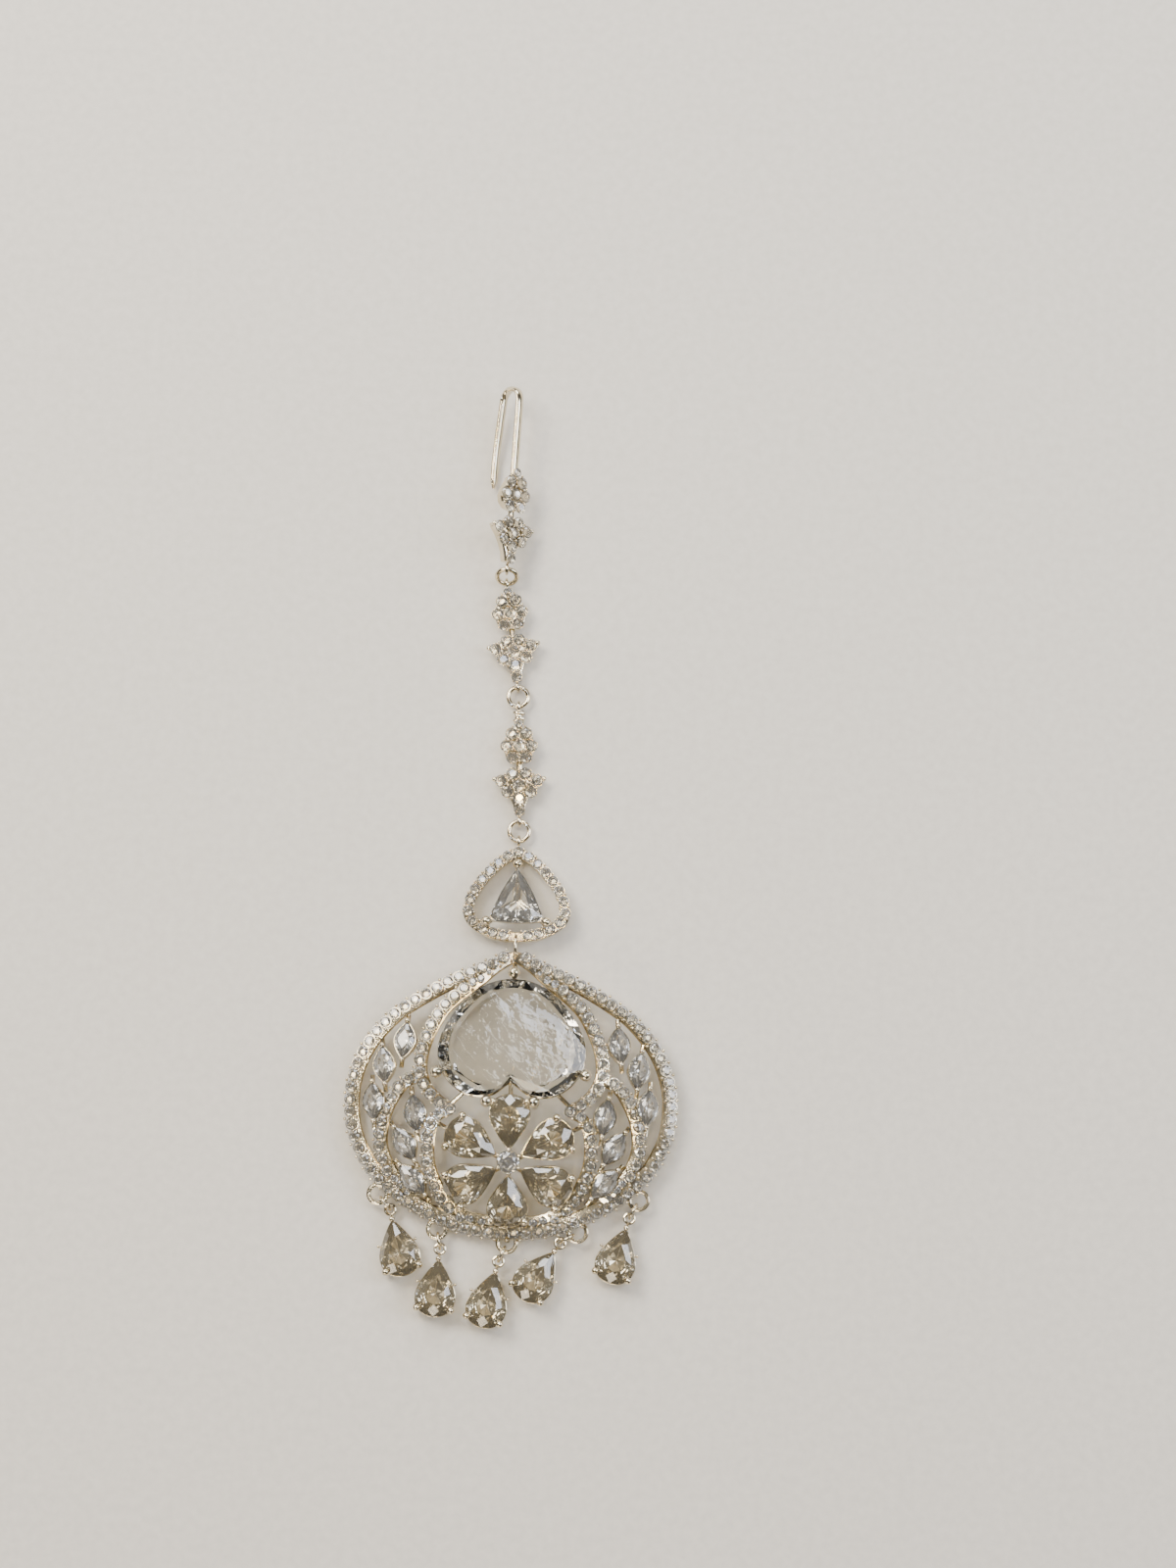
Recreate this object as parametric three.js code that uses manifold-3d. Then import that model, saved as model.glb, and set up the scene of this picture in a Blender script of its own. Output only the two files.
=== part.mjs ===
// Maang tikka: a head jewel of pave-set links, a triangle and a domed pendant with five drops.
// Millimetres, +Z up. It lies face up on a surface at z = 0 and its hook points to +Y.
// The pendant is symmetric about x = 0, and y = 0 is the line between heart and flower.
import * as THREE from 'three';
import { ConvexGeometry } from 'three/addons/geometries/ConvexGeometry.js';
import { mergeVertices } from 'three/addons/utils/BufferGeometryUtils.js';
import Module from 'manifold-3d';

const wasm = await Module();
wasm.setup();

// Pendant
const halfWidth = 19.6;            // middle of the outer band, from the centre line
const topReach = 17.1;             // middle of the band at the apex, above the heart's foot
const footReach = 16.9;            // middle of the band at the bottom, below the heart's foot
const bandWidth = 1.95;
const bandHeight = 1.6;
const domeSideRadius = 60;
const domeTopRadius = 60;
const domeFootRadius = 36;
const domeCentre = -1;
const paveDiameter = 1.45;
const paveTable = 0.7;
const paveProud = 0.36;
const paveSunk = 0.35;
const pavePitch = 1.65;
const clearance = 0.15;            // between a stone and the metal that holds it

// Heart stone
const heartHalfWidth = 9.2;
const heartLength = 14;
const heartFoot = 0.9;             // the lobes reach this far below y = 0
const heartCrown = 0.9;
const heartPavilion = 1.4;
const heartTable = 0.8;
const heartProng = 0.62;

// Flower
const flowerCentre = -8.9;
const petalLength = 6.6;
const petalWidth = 4.8;
const petalStart = 1.6;            // from the flower's centre to a petal's tip
const petalSeatHeight = 2.9;
const flowerStone = 2.8;
const flowerStoneHeight = 3.3;
const petalProng = 0.55;
const petalGrip = 0.86;            // where the prongs hold a petal, along it
const petalGripWidth = 0.84;       // and its width there
const spokeReach = 1.4;            // a spoke runs this far past its petal
const pearMiddle = 0.58;           // where a pear-cut stone is widest, along it

// Leaves
const leafLength = 4.7;
const leafWidth = 2.4;
const leafSeatHeight = 2.35;
const leafProng = 0.5;
const stemReach = 0.55;            // a stem runs this far past the prongs of its leaf

// Wire under the stones
const wireWidth = 0.6;
const wireHeight = 0.6;
const wireBase = 0.5;

// Ring between the pendant's apex and the triangle
const pendantRingRadius = 1.45;
const pendantRingWire = 0.22;
const ringHole = 0.55;
const ringReach = 2 * (pendantRingRadius + pendantRingWire + clearance - ringHole);
const ringSag = 0.33;              // the triangle hangs this far below the pendant's apex

// Triangle
const triangleFoot = topReach + ringReach;
const triangleHeight = 10.9;
const triangleHalfWidth = 6.1;
const triangleBand = 1.75;
const trillionHeight = 7.1;
const trillionHalfWidth = 3.6;
const trillionStart = 1.8;         // from the middle of the band's lower side to the stone
const trillionFoot = triangleFoot + trillionStart;
const trillionMiddle = 0.36;       // share of its height from its foot
const trillionSeat = 2.3;
const trillionProng = 0.5;

// Rings and loops
const ringRadius = 1.3;
const ringWire = 0.25;
const loopRadius = 0.62;
const loopWire = 0.2;
const loopHeight = 0.85;           // middle of the loops above the surface
const eyeletRadius = 1.15;
const eyeletWire = 0.28;
const eyeletHeight = 1.25;
const dropRingRadius = 1;
const dropRingWire = 0.2;

// Links
const linkHeight = 1.5;
const kiteLength = 6.4;
const kiteHalfWidth = 3.3;
const pearLength = 5.8;
const pearHalfWidth = 2.3;
const neckLength = 0.4;
const neckWidth = 0.9;
const linkStone = 1.16;
const linkPitch = 1.28;
const wrapRadius = 0.7;
const wrapWire = 0.28;
const wrapTurns = 3;
const shankLength = 1.2;           // under the wire wrapped round one link

// Hook
const hookWidth = 1.1;
const hookWire = 0.6;
const hookLength = 10.1;
const hookGap = 3.9;
const hookReturn = 14;             // from the bend back down to the free tip
const hookRoll = 42;
const hookPitch = 3.4;
const hookLinkHeight = 2.98;

// Drops
const dropLength = 7;
const dropWidth = 5;
const dropSeatHeight = 2;
const dropProng = 0.42;
const dropSeat = 0.99;             // the wire under the stone, as a share of its outline

// Facets
const ringSides = 10;
const wireSides = 5;
const paveSides = 8;
const stepLength = 2.3;            // along a band
const heartStep = 2.6;             // along the wire under the heart
const dropSeatSides = 8;            // of the wire under each drop

const rhodium = { color: 0xd8d4c4, roughness: 0.2, metalness: 1 };
const clearStone = { color: 0xf4f1e4, roughness: 0.05, metalness: 0, transparent: true, opacity: 0.5 };

// Half outlines from the top middle round to the bottom middle.
// Columns: across as a share of the half width, along as a share of the reach on that side.
const outerBand = [
  [0, 1], [0.13, 0.92], [0.25, 0.86], [0.37, 0.8], [0.5, 0.72], [0.63, 0.63], [0.74, 0.54],
  [0.86, 0.39], [0.94, 0.24], [0.99, 0.06], [1, -0.12], [0.98, -0.29], [0.91, -0.48],
  [0.82, -0.62], [0.64, -0.78], [0.5, -0.865], [0.34, -0.945], [0.2, -0.98], [0, -1],
];
const heartLoop = [
  [0, 0.99], [0.09, 0.94], [0.22, 0.81], [0.34, 0.7], [0.44, 0.585], [0.51, 0.445],
  [0.555, 0.305], [0.57, 0.15], [0.535, 0.02], [0.455, -0.08], [0.37, -0.14],
];
const flowerRing = [
  [0.37, -0.14], [0.46, -0.19], [0.5, -0.295], [0.51, -0.415], [0.5, -0.545], [0.465, -0.66],
  [0.41, -0.77], [0.32, -0.87], [0.2, -0.93], [0, -0.945],
];
const crescent = [
  [0.565, 0.1], [0.67, 0.05], [0.745, -0.07], [0.795, -0.21], [0.81, -0.38],
  [0.78, -0.51], [0.735, -0.61], [0.67, -0.7], [0.6, -0.78],
];
// Leaves on the right side. Columns: across, along, lean to the right in degrees.
const leaves = [
  [0.685, 0.355, -6], [0.815, 0.175, 6], [0.875, -0.095, 4],
  [0.605, -0.18, 9], [0.665, -0.405, 33], [0.61, -0.665, 42],
];
// Eyelets and drops. Columns: eyelet across and along, lean of the ring, lean of the drop.
const drops = [
  [-0.83, -0.765, 40, 14], [-0.445, -1.01, 10, -4], [0, -1.1, -23, -13],
  [0.445, -1.01, -56, -33], [0.83, -0.765, -26, -16],
];
const heartOutline = [
  [0, 1], [0.2, 0.985], [0.49, 0.9], [0.7, 0.76], [0.89, 0.585], [0.985, 0.42], [1, 0.31],
  [0.955, 0.17], [0.8, 0.035], [0.61, -0.7], [0.435, -1], [0.24, -0.6], [0, 0.065],
];
// Prongs round the heart. Columns: across, along.
const heartProngs = [[0, 1.07], [-1.03, 0.13], [1.03, 0.13], [-0.33, -2], [0.33, -2]];
const triangleOutline = [
  [0, 1], [0.26, 0.93], [0.435, 0.845], [0.61, 0.74], [0.785, 0.62], [0.905, 0.505],
  [0.99, 0.37], [1, 0.265], [0.92, 0.18], [0.74, 0.1], [0.46, 0.03], [0, 0],
];
// A pear from its tip to its round end. Columns: across as a share of the half width, along.
const pearOutline = [
  [0, 0], [0.3, 0.12], [0.62, 0.3], [0.88, 0.47], [1, 0.64], [0.9, 0.82], [0.55, 0.95], [0, 1],
];
const kiteOutline = [
  [0.22, 0], [0.28, 0.2], [0.46, 0.42], [0.72, 0.62], [1, 0.77], [0.7, 0.88], [0.35, 0.97], [0, 1],
];
// Rows of stones. Columns: how many, along.
const kiteRows = [[1, 0.1], [1, 0.28], [2, 0.46], [3, 0.63], [4, 0.795], [2, 0.92]];
const pearRows = [[2, 0.84], [3, 0.63], [2, 0.42], [1, 0.23]];
// Petals. Columns: turn from the flower's axis in degrees, start and length as shares.
const petals = [
  [90, 1, 1], [152, 1.15, 1.03], [208, 1.15, 1.03], [270, 1, 0.97], [332, 1.15, 1.03], [28, 1.15, 1.03],
];
// Links from the triangle to the hook. Columns: ring's lean, link's lean, both to the left.
const chain = [[0, 2], [5, 7.5], [0, -0.5]];

const radians = THREE.MathUtils.degToRad;

// Solids and booleans

function solid(geometry) {
  const bare = geometry.clone();
  bare.deleteAttribute('normal');
  bare.deleteAttribute('uv');
  const merged = mergeVertices(bare, 1e-4);
  return new wasm.Manifold(new wasm.Mesh({
    numProp: 3,
    vertProperties: new Float32Array(merged.attributes.position.array),
    triVerts: new Uint32Array(merged.index.array),
  }));
}

function joined(parts) {
  return parts.reduce((all, part) => all.add(part));
}

function geometryOf(body) {
  const mesh = body.getMesh();
  const geometry = new THREE.BufferGeometry();
  geometry.setAttribute('position', new THREE.BufferAttribute(mesh.vertProperties, 3));
  geometry.setIndex(new THREE.BufferAttribute(mesh.triVerts, 1));
  return geometry;
}

function named(name, geometry, look) {
  const mesh = new THREE.Mesh(geometry, new THREE.MeshStandardMaterial(look));
  mesh.name = name;
  return mesh;
}

// Outlines and curves

function place([across, along]) {
  return new THREE.Vector2(across * halfWidth, along * (along > 0 ? topReach : footReach));
}

// A half outline from the middle round to the middle, with its other half.
function mirrored(half) {
  const left = half.filter((point) => point.x > 0).map((point) => new THREE.Vector2(-point.x, point.y));
  return [...half, ...left.reverse()];
}

function spline(points, closed) {
  const course = points.map((point) => new THREE.Vector3(point.x, point.y, 0));
  return new THREE.CatmullRomCurve3(course, closed, 'centripetal');
}

function offsetSide(curve, steps, distance, closed) {
  const side = [];
  const last = closed ? steps - 1 : steps;
  for (let i = 0; i <= last; i += 1) {
    const point = curve.getPointAt(i / steps);
    const tangent = curve.getTangentAt(i / steps);
    side.push(new THREE.Vector2(point.x - tangent.y * distance, point.y + tangent.x * distance));
  }
  return side;
}

function extruded(shape, base, height) {
  const geometry = new THREE.ExtrudeGeometry(shape, { depth: height, bevelEnabled: false });
  return geometry.translate(0, 0, base);
}

function ribbon(curve, width, base, height, closed, step = stepLength) {
  const steps = Math.max(2, Math.round(curve.getLength() / step));
  const left = offsetSide(curve, steps, width / 2, closed);
  const right = offsetSide(curve, steps, -width / 2, closed);
  if (!closed) {
    return solid(extruded(new THREE.Shape([...left, ...right.reverse()]), base, height));
  }
  const area = (side) => THREE.ShapeUtils.area(side);
  const [inside, outside] = [left, right].sort((a, b) => Math.abs(area(a)) - Math.abs(area(b)));
  const shape = new THREE.Shape(area(outside) > 0 ? outside : outside.reverse());
  shape.holes.push(new THREE.Path(area(inside) > 0 ? inside.reverse() : inside));
  return solid(extruded(shape, base, height));
}

function bar(from, to, width, base, height) {
  const run = to.clone().sub(from);
  const geometry = new THREE.BoxGeometry(run.length(), width, height);
  geometry.rotateZ(run.angle());
  return solid(geometry.translate((from.x + to.x) / 2, (from.y + to.y) / 2, base + height / 2));
}

// Dome of the pendant

function dome(x, y) {
  const along = y - domeCentre;
  const alongRadius = along > 0 ? domeTopRadius : domeFootRadius;
  return -(x * x) / (2 * domeSideRadius) - (along * along) / (2 * alongRadius);
}

const domeBase = -dome(0, -footReach - bandWidth / 2);

function domeSlope(x, y) {
  const along = y - domeCentre;
  return new THREE.Vector2(-x / domeSideRadius, -along / (along > 0 ? domeTopRadius : domeFootRadius));
}

function laidOnDome(geometry) {
  const spots = geometry.attributes.position;
  for (let i = 0; i < spots.count; i += 1) {
    spots.setZ(i, spots.getZ(i) + domeBase + dome(spots.getX(i), spots.getY(i)));
  }
  return geometry;
}

// Height of a stone's girdle over the undomed frame at a point beside the stone.
function girdleOver(seat, point) {
  const slope = domeSlope(seat.x, seat.y);
  const rise = slope.x * (point.x - seat.x) + slope.y * (point.y - seat.y);
  return seat.height + dome(seat.x, seat.y) + rise - dome(point.x, point.y);
}

function setOnDome(mesh, seat, turn) {
  const slope = domeSlope(seat.x, seat.y);
  const up = new THREE.Vector3(-slope.x, -slope.y, 1).normalize();
  const tilt = new THREE.Quaternion().setFromUnitVectors(new THREE.Vector3(0, 0, 1), up);
  const spin = new THREE.Quaternion().setFromAxisAngle(new THREE.Vector3(0, 0, 1), turn);
  mesh.quaternion.copy(tilt.multiply(spin));
  mesh.position.set(seat.x, seat.y, domeBase + dome(seat.x, seat.y) + seat.height);
  return mesh;
}

// Cut stones, girdle at z = 0

function cutStone(outline, centre, cut) {
  const ring = (share, height) => outline.map((point) => new THREE.Vector3(
    centre.x + (point.x - centre.x) * share, centre.y + (point.y - centre.y) * share, height,
  ));
  const corners = [...ring(cut.table, cut.crown), ...ring(1, 0)];
  if (cut.culet) corners.push(...ring(1, -cut.girdle), ...ring(cut.culet, -cut.pavilion));
  else corners.push(new THREE.Vector3(centre.x, centre.y, -cut.pavilion));
  return new ConvexGeometry(corners);
}

function pear(length, width) {
  const half = pearOutline.map(([across, along]) => new THREE.Vector2(across * width / 2, along * length));
  return mirrored(half);
}

function marquise() {
  const half = [0, 0.22, 0.5, 0.78, 1].map((share) => new THREE.Vector2(
    Math.sin(Math.PI * share) * leafWidth / 2, (0.5 - share) * leafLength,
  ));
  return mirrored(half.map((point) => (point.x < 1e-6 ? new THREE.Vector2(0, point.y) : point)));
}

function heartHalf(grow = 0) {
  return heartOutline.map(([across, along]) => new THREE.Vector2(
    across * (heartHalfWidth + grow), along * ((along > 0 ? heartLength : heartFoot) + grow),
  ));
}

function paveStone(x, y, diameter, top, proud = paveProud) {
  const height = proud + paveSunk;
  const geometry = new THREE.CylinderGeometry(diameter * paveTable / 2, diameter / 2, height, paveSides);
  geometry.rotateX(Math.PI / 2);
  return solid(geometry.translate(x, y, top + proud - height / 2));
}

// Wire and prongs

function torus(radius, wire, sides = ringSides) {
  return new THREE.TorusGeometry(radius, wire, wireSides, sides);
}

// An upright loop in the plane of +Y and +Z.
function uprightLoop(y, z, radius = loopRadius, wire = loopWire) {
  return solid(torus(radius, wire).rotateY(Math.PI / 2).translate(0, y, z));
}

function prong(x, y, girdle, ball, base = 0) {
  const post = ball * 0.62;
  const profile = [[0, base], [post, base], [ball, girdle + ball * 0.2], [0, girdle + ball * 1.1]];
  const geometry = new THREE.LatheGeometry(profile.map(([r, z]) => new THREE.Vector2(r, z)), wireSides);
  return solid(geometry.rotateX(Math.PI / 2).translate(x, y, 0));
}

// A wire under a stone, with a post at each end. past: how far the wire runs beyond the posts.
function cradle(from, to, tops, post, past) {
  const run = to.clone().sub(from);
  const far = run.length();
  const floor = wireBase + wireHeight;
  const outline = [
    [post, floor], [post, tops[0]], [0, tops[0]], [0, floor], [-past, floor], [-past, wireBase],
    [far + past, wireBase], [far + past, floor], [far, floor], [far, tops[1]],
    [far - post, tops[1]], [far - post, floor],
  ].filter((_, i) => past > 0 || ![3, 4, 7, 8].includes(i));
  const shape = new THREE.Shape(outline.map(([along, up]) => new THREE.Vector2(along, up)));
  const geometry = new THREE.ExtrudeGeometry(shape, { depth: post, bevelEnabled: false });
  geometry.translate(0, 0, -post / 2).rotateX(Math.PI / 2).rotateZ(run.angle());
  return solid(geometry.translate(from.x, from.y, 0));
}

// Pendant seats, worked out once for the stones and for the metal under them

const heartSeat = { x: 0, y: heartLength / 2 - heartFoot / 2 };
heartSeat.height = wireBase + wireHeight + heartPavilion + 2 * clearance;

const petalSeats = petals.map(([turn, start, length], i) => {
  const way = new THREE.Vector2(Math.cos(radians(turn)), Math.sin(radians(turn)));
  const from = petalStart * start;
  const run = petalLength * length;
  return {
    name: `petal_stone_${i + 1}`, way, from, run,
    turn: radians(turn - 90),
    x: way.x * (from + run / 2),
    y: flowerCentre + way.y * (from + run / 2),
    height: petalSeatHeight,
  };
});

const leafSeats = [-1, 1].flatMap((side) => leaves.map(([across, along, lean], i) => {
  const spot = place([across * side, along]);
  const turn = -radians(lean * side);
  return {
    name: `leaf_stone_${i + 1 + (side > 0 ? leaves.length : 0)}`, turn,
    x: spot.x, y: spot.y, height: leafSeatHeight,
    way: new THREE.Vector2(-Math.sin(turn), Math.cos(turn)),
  };
}));

function bandCurves() {
  const flip = ([across, along]) => place([-across, along]);
  const bothSides = (from, to) => spline([...from.map(flip).reverse(), ...to.map(place)], false);
  return [
    spline(mirrored(outerBand.map(place)), true),
    bothSides(heartLoop, heartLoop.slice(1)),
    bothSides([...flowerRing].reverse(), [...flowerRing].reverse().slice(1)),
    spline(crescent.map(place), false),
    spline(crescent.map(flip), false),
  ];
}

function paveAlong(curve, pitch, closed) {
  const count = Math.round(curve.getLength() / pitch);
  const spots = curve.getSpacedPoints(count);
  return closed ? spots.slice(0, -1) : spots;
}

function clearOf(spot, taken, distance) {
  return taken.every((other) => Math.hypot(spot.x - other.x, spot.y - other.y) > distance);
}

function pendantHole() {
  return new THREE.Vector2(0, topReach);
}

function pendantPave(curves) {
  const taken = [pendantHole(), new THREE.Vector2(0, -footReach)];
  const holes = taken.length;
  curves.forEach((curve, i) => {
    paveAlong(curve, pavePitch, i === 0).forEach((spot) => {
      if (clearOf(spot, taken, paveDiameter * 1.04)) taken.push(spot);
    });
  });
  return taken.slice(holes).map((spot) => paveStone(spot.x, spot.y, paveDiameter, bandHeight));
}

function heartSetting() {
  const share = (point) => new THREE.Vector2(
    point.x * heartTable, heartSeat.y + (point.y - heartSeat.y) * heartTable,
  );
  const seatCurve = spline(mirrored(heartHalf().map(share)), true);
  const seat = ribbon(seatCurve, wireWidth, wireBase, wireHeight, true, heartStep);
  const prongs = heartProngs.map(([across, along]) => {
    const spot = new THREE.Vector2(across * heartHalfWidth, along * (along > 0 ? heartLength : heartFoot));
    const girdle = girdleOver(heartSeat, spot);
    const inward = new THREE.Vector2(spot.x * 0.7, heartSeat.y + (spot.y - heartSeat.y) * 0.7);
    return prong(spot.x, spot.y, girdle, heartProng, wireBase)
      .add(bar(inward, spot, wireWidth, wireBase, wireHeight));
  });
  const posts = [
    bar(new THREE.Vector2(0, heartLength * 0.75), pendantHole(), wireWidth, wireBase, wireHeight),
    ...[-1, 1].map((side) => bar(
      new THREE.Vector2(side * heartHalfWidth * 0.5, heartFoot), place([side * 0.4, -0.13]),
      wireWidth, wireBase, wireHeight,
    )),
  ];
  return joined([seat, ...prongs, ...posts]);
}

function petalSetting(seat) {
  const outer = seat.from + seat.run;
  const far = outer + spokeReach;
  const spokeEnd = new THREE.Vector2(seat.way.x * far, flowerCentre + seat.way.y * far);
  const hub = new THREE.Vector2(0, flowerCentre);
  const aside = new THREE.Vector2(-seat.way.y, seat.way.x);
  const along = seat.from + seat.run * petalGrip;
  const reach = petalWidth * petalGripWidth / 2 + clearance + petalProng;
  const ends = [-1, 1].map((side) => new THREE.Vector2(
    seat.way.x * along + side * aside.x * reach, flowerCentre + seat.way.y * along + side * aside.y * reach,
  ));
  const tops = ends.map((spot) => girdleOver(seat, spot) + petalProng);
  return bar(hub, spokeEnd, wireWidth, wireBase, wireHeight).add(cradle(...ends, tops, petalProng, 0));
}

function leafSetting(seat) {
  const tip = (share) => new THREE.Vector2(
    seat.x + seat.way.x * share, seat.y + seat.way.y * share,
  );
  const reach = leafLength / 2 + clearance + leafProng;
  const ends = [tip(-reach), tip(reach)];
  const tops = ends.map((spot) => girdleOver(seat, spot) + leafProng);
  return cradle(...ends, tops, leafProng, stemReach);
}

function flowerHub() {
  const hub = new THREE.CylinderGeometry(petalStart * 0.6, petalStart * 0.6, wireHeight, ringSides);
  hub.rotateX(Math.PI / 2).translate(0, flowerCentre, wireBase + wireHeight / 2);
  return solid(hub);
}

function pendantFrame() {
  const curves = bandCurves();
  const bands = curves.map((curve, i) => ribbon(curve, bandWidth, 0, bandHeight, i === 0));
  const settings = [heartSetting(), flowerHub(), ...petalSeats.map(petalSetting), ...leafSeats.map(leafSetting)];
  const holeAt = pendantHole();
  const hole = new THREE.CylinderGeometry(ringHole, ringHole, bandHeight * 3, paveSides);
  hole.rotateX(Math.PI / 2).translate(holeAt.x, holeAt.y, 0);
  const flat = joined([...bands, ...settings, ...pendantPave(curves)]).subtract(solid(hole));
  const domed = solid(laidOnDome(geometryOf(flat)));
  const eyelets = drops.map(([across, along]) => {
    const spot = place([across, along]);
    return solid(torus(eyeletRadius, eyeletWire).translate(spot.x, spot.y, eyeletHeight));
  });
  return named('pendant_frame', geometryOf(joined([domed, ...eyelets])), rhodium);
}

function heartStone() {
  const cut = { table: heartTable, crown: heartCrown, girdle: 0.3, culet: 0.72, pavilion: heartPavilion };
  const centre = new THREE.Vector2(0, heartSeat.y);
  const halves = [-1, 1].map((side) => solid(cutStone(
    heartHalf().map((point) => new THREE.Vector2(side * point.x, point.y)), centre, cut,
  ).translate(0, -heartSeat.y, 0)));
  return setOnDome(named('heart_stone', geometryOf(joined(halves)), clearStone), heartSeat, 0);
}

function petalStone(seat) {
  const cut = { table: 0.56, crown: 0.95, pavilion: 1.65 };
  const outline = pear(seat.run, petalWidth);
  const geometry = cutStone(outline, new THREE.Vector2(0, seat.run * pearMiddle), cut);
  return setOnDome(named(seat.name, geometry.translate(0, -seat.run / 2, 0), clearStone), seat, seat.turn);
}

function leafStone(seat) {
  const cut = { table: 0.5, crown: 0.6, pavilion: 0.95 };
  const geometry = cutStone(marquise(), new THREE.Vector2(0, 0), cut);
  return setOnDome(named(seat.name, geometry, clearStone), seat, seat.turn);
}

function flowerStoneMesh() {
  const half = flowerStone / 2;
  const profile = [[0, -half * 0.8], [half, 0], [half * 0.55, half * 0.45], [0, half * 0.45]];
  const points = profile.map(([r, z]) => new THREE.Vector2(r, z));
  const geometry = new THREE.LatheGeometry(points, paveSides).rotateX(Math.PI / 2);
  const seat = { x: 0, y: flowerCentre, height: flowerStoneHeight };
  return setOnDome(named('flower_centre_stone', geometry, clearStone), seat, 0);
}

// Triangle with its own cut stone, held up at the pendant side

function trianglePoint([across, along]) {
  return new THREE.Vector2(across * triangleHalfWidth, triangleFoot + along * triangleHeight);
}

function trillionCorners() {
  return [
    new THREE.Vector2(0, trillionFoot + trillionHeight), new THREE.Vector2(-trillionHalfWidth, trillionFoot),
    new THREE.Vector2(trillionHalfWidth, trillionFoot),
  ];
}

const trillionCentre = new THREE.Vector2(0, trillionFoot + trillionHeight * trillionMiddle);
const apexHeight = domeBase + dome(0, topReach);
const triangleRise = apexHeight - ringSag;

function triangleLoop() {
  return triangleFoot + triangleHeight + triangleBand / 2 + loopRadius;
}

function triangleFrame() {
  const curve = spline(mirrored(triangleOutline.map(trianglePoint)), true);
  const hole = new THREE.Vector2(0, triangleFoot);
  const stones = paveAlong(curve, pavePitch, true)
    .filter((spot) => clearOf(spot, [hole], paveDiameter))
    .map((spot) => paveStone(spot.x, spot.y, paveDiameter, bandHeight));
  const prongs = trillionCorners().map((corner) => {
    const out = corner.clone().sub(trillionCentre).normalize();
    const spot = corner.clone().addScaledVector(out, clearance + trillionProng);
    const reach = spot.clone().addScaledVector(out, triangleBand * 0.75);
    return prong(spot.x, spot.y, trillionSeat, trillionProng, wireBase)
      .add(bar(trillionCentre, reach, wireWidth, wireBase, wireHeight));
  });
  const drill = new THREE.CylinderGeometry(ringHole, ringHole, bandHeight * 4, paveSides);
  drill.rotateX(Math.PI / 2).translate(hole.x, hole.y, 0);
  const body = joined([ribbon(curve, triangleBand, 0, bandHeight, true), ...stones, ...prongs])
    .subtract(solid(drill))
    .add(uprightLoop(triangleLoop(), loopHeight));
  return named('triangle_frame', geometryOf(body), rhodium);
}

function triangleStone() {
  const cut = { table: 0.5, crown: 0.8, pavilion: 1.05 };
  const corners = trillionCorners();
  const outline = corners.flatMap((corner, i) => {
    const next = corners[(i + 1) % corners.length];
    return [0.06, 0.35, 0.65, 0.94].map((share) => {
      const spot = corner.clone().lerp(next, share);
      const bulge = 0.2 * Math.sin(Math.PI * share);
      return spot.addScaledVector(spot.clone().sub(trillionCentre).normalize(), bulge);
    });
  });
  const geometry = cutStone(outline, trillionCentre, cut).translate(0, 0, trillionSeat);
  return named('triangle_stone', geometry, clearStone);
}

// The triangle's group turns about its far loop, which stays at the height of the chain's loops.
function triangleGroup() {
  const inner = new THREE.Group();
  inner.add(triangleFrame(), triangleStone());
  inner.position.set(0, -triangleLoop(), -loopHeight);
  const group = new THREE.Group();
  group.add(inner);
  group.position.set(0, triangleLoop(), loopHeight);
  group.rotation.x = -Math.atan(triangleRise / (triangleLoop() - triangleFoot));
  return group;
}

function pendantRing() {
  const middle = (topReach + triangleFoot) / 2;
  const height = apexHeight - ringSag / 2 + bandHeight / 2;
  const geometry = torus(pendantRingRadius, pendantRingWire).rotateY(Math.PI / 2);
  return named('pendant_ring', geometry.translate(0, middle, height), rhodium);
}

// Links, kite end at the origin and pear towards +Y

function rowStones(rows, length, from, top) {
  return rows.flatMap(([count, along]) => Array.from({ length: count }, (_, i) => paveStone(
    (i - (count - 1) / 2) * linkPitch, from + along * length, linkStone, top,
  )));
}

function linkBody() {
  const kite = kiteOutline.map(([across, along]) => new THREE.Vector2(
    across * kiteHalfWidth, along * kiteLength,
  ));
  const pearFrom = kiteLength + neckLength;
  const drop = pear(pearLength, pearHalfWidth * 2)
    .map((point) => new THREE.Vector2(point.x, pearFrom + pearLength - point.y));
  const plates = [mirrored(kite), drop]
    .map((outline) => solid(extruded(new THREE.Shape(outline), 0, linkHeight)));
  const neck = bar(
    new THREE.Vector2(0, kiteLength - neckWidth), new THREE.Vector2(0, pearFrom + neckWidth),
    neckWidth, linkHeight * 0.2, linkHeight * 0.6,
  );
  const kiteStones = rowStones(kiteRows, kiteLength, 0, linkHeight);
  const pearStones = rowStones(
    pearRows.map(([count, along]) => [count, 1 - along]), pearLength, pearFrom, linkHeight,
  );
  return joined([...plates, neck, ...kiteStones, ...pearStones]);
}

const linkTop = kiteLength + neckLength + pearLength;
const kiteLoop = -loopRadius * 0.6;

function chainLink(name, shank) {
  const loopAt = linkTop + shank + loopRadius;
  const from = new THREE.Vector2(0, linkTop - neckWidth);
  const to = new THREE.Vector2(0, linkTop + shank + loopWire);
  const post = bar(from, to, loopWire * 2, loopHeight - loopWire, loopWire * 2);
  const parts = [linkBody(), post, uprightLoop(kiteLoop, loopHeight), uprightLoop(loopAt, loopHeight)];
  const turns = shank > 0 ? wrapTurns : 0;
  for (let i = 0; i < turns; i += 1) {
    const disc = new THREE.CylinderGeometry(wrapRadius, wrapRadius, wrapWire, paveSides);
    parts.push(solid(disc.translate(0, linkTop + (i + 0.3) * shank / turns, loopHeight)));
  }
  return named(name, geometryOf(joined(parts)), rhodium);
}

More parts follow.
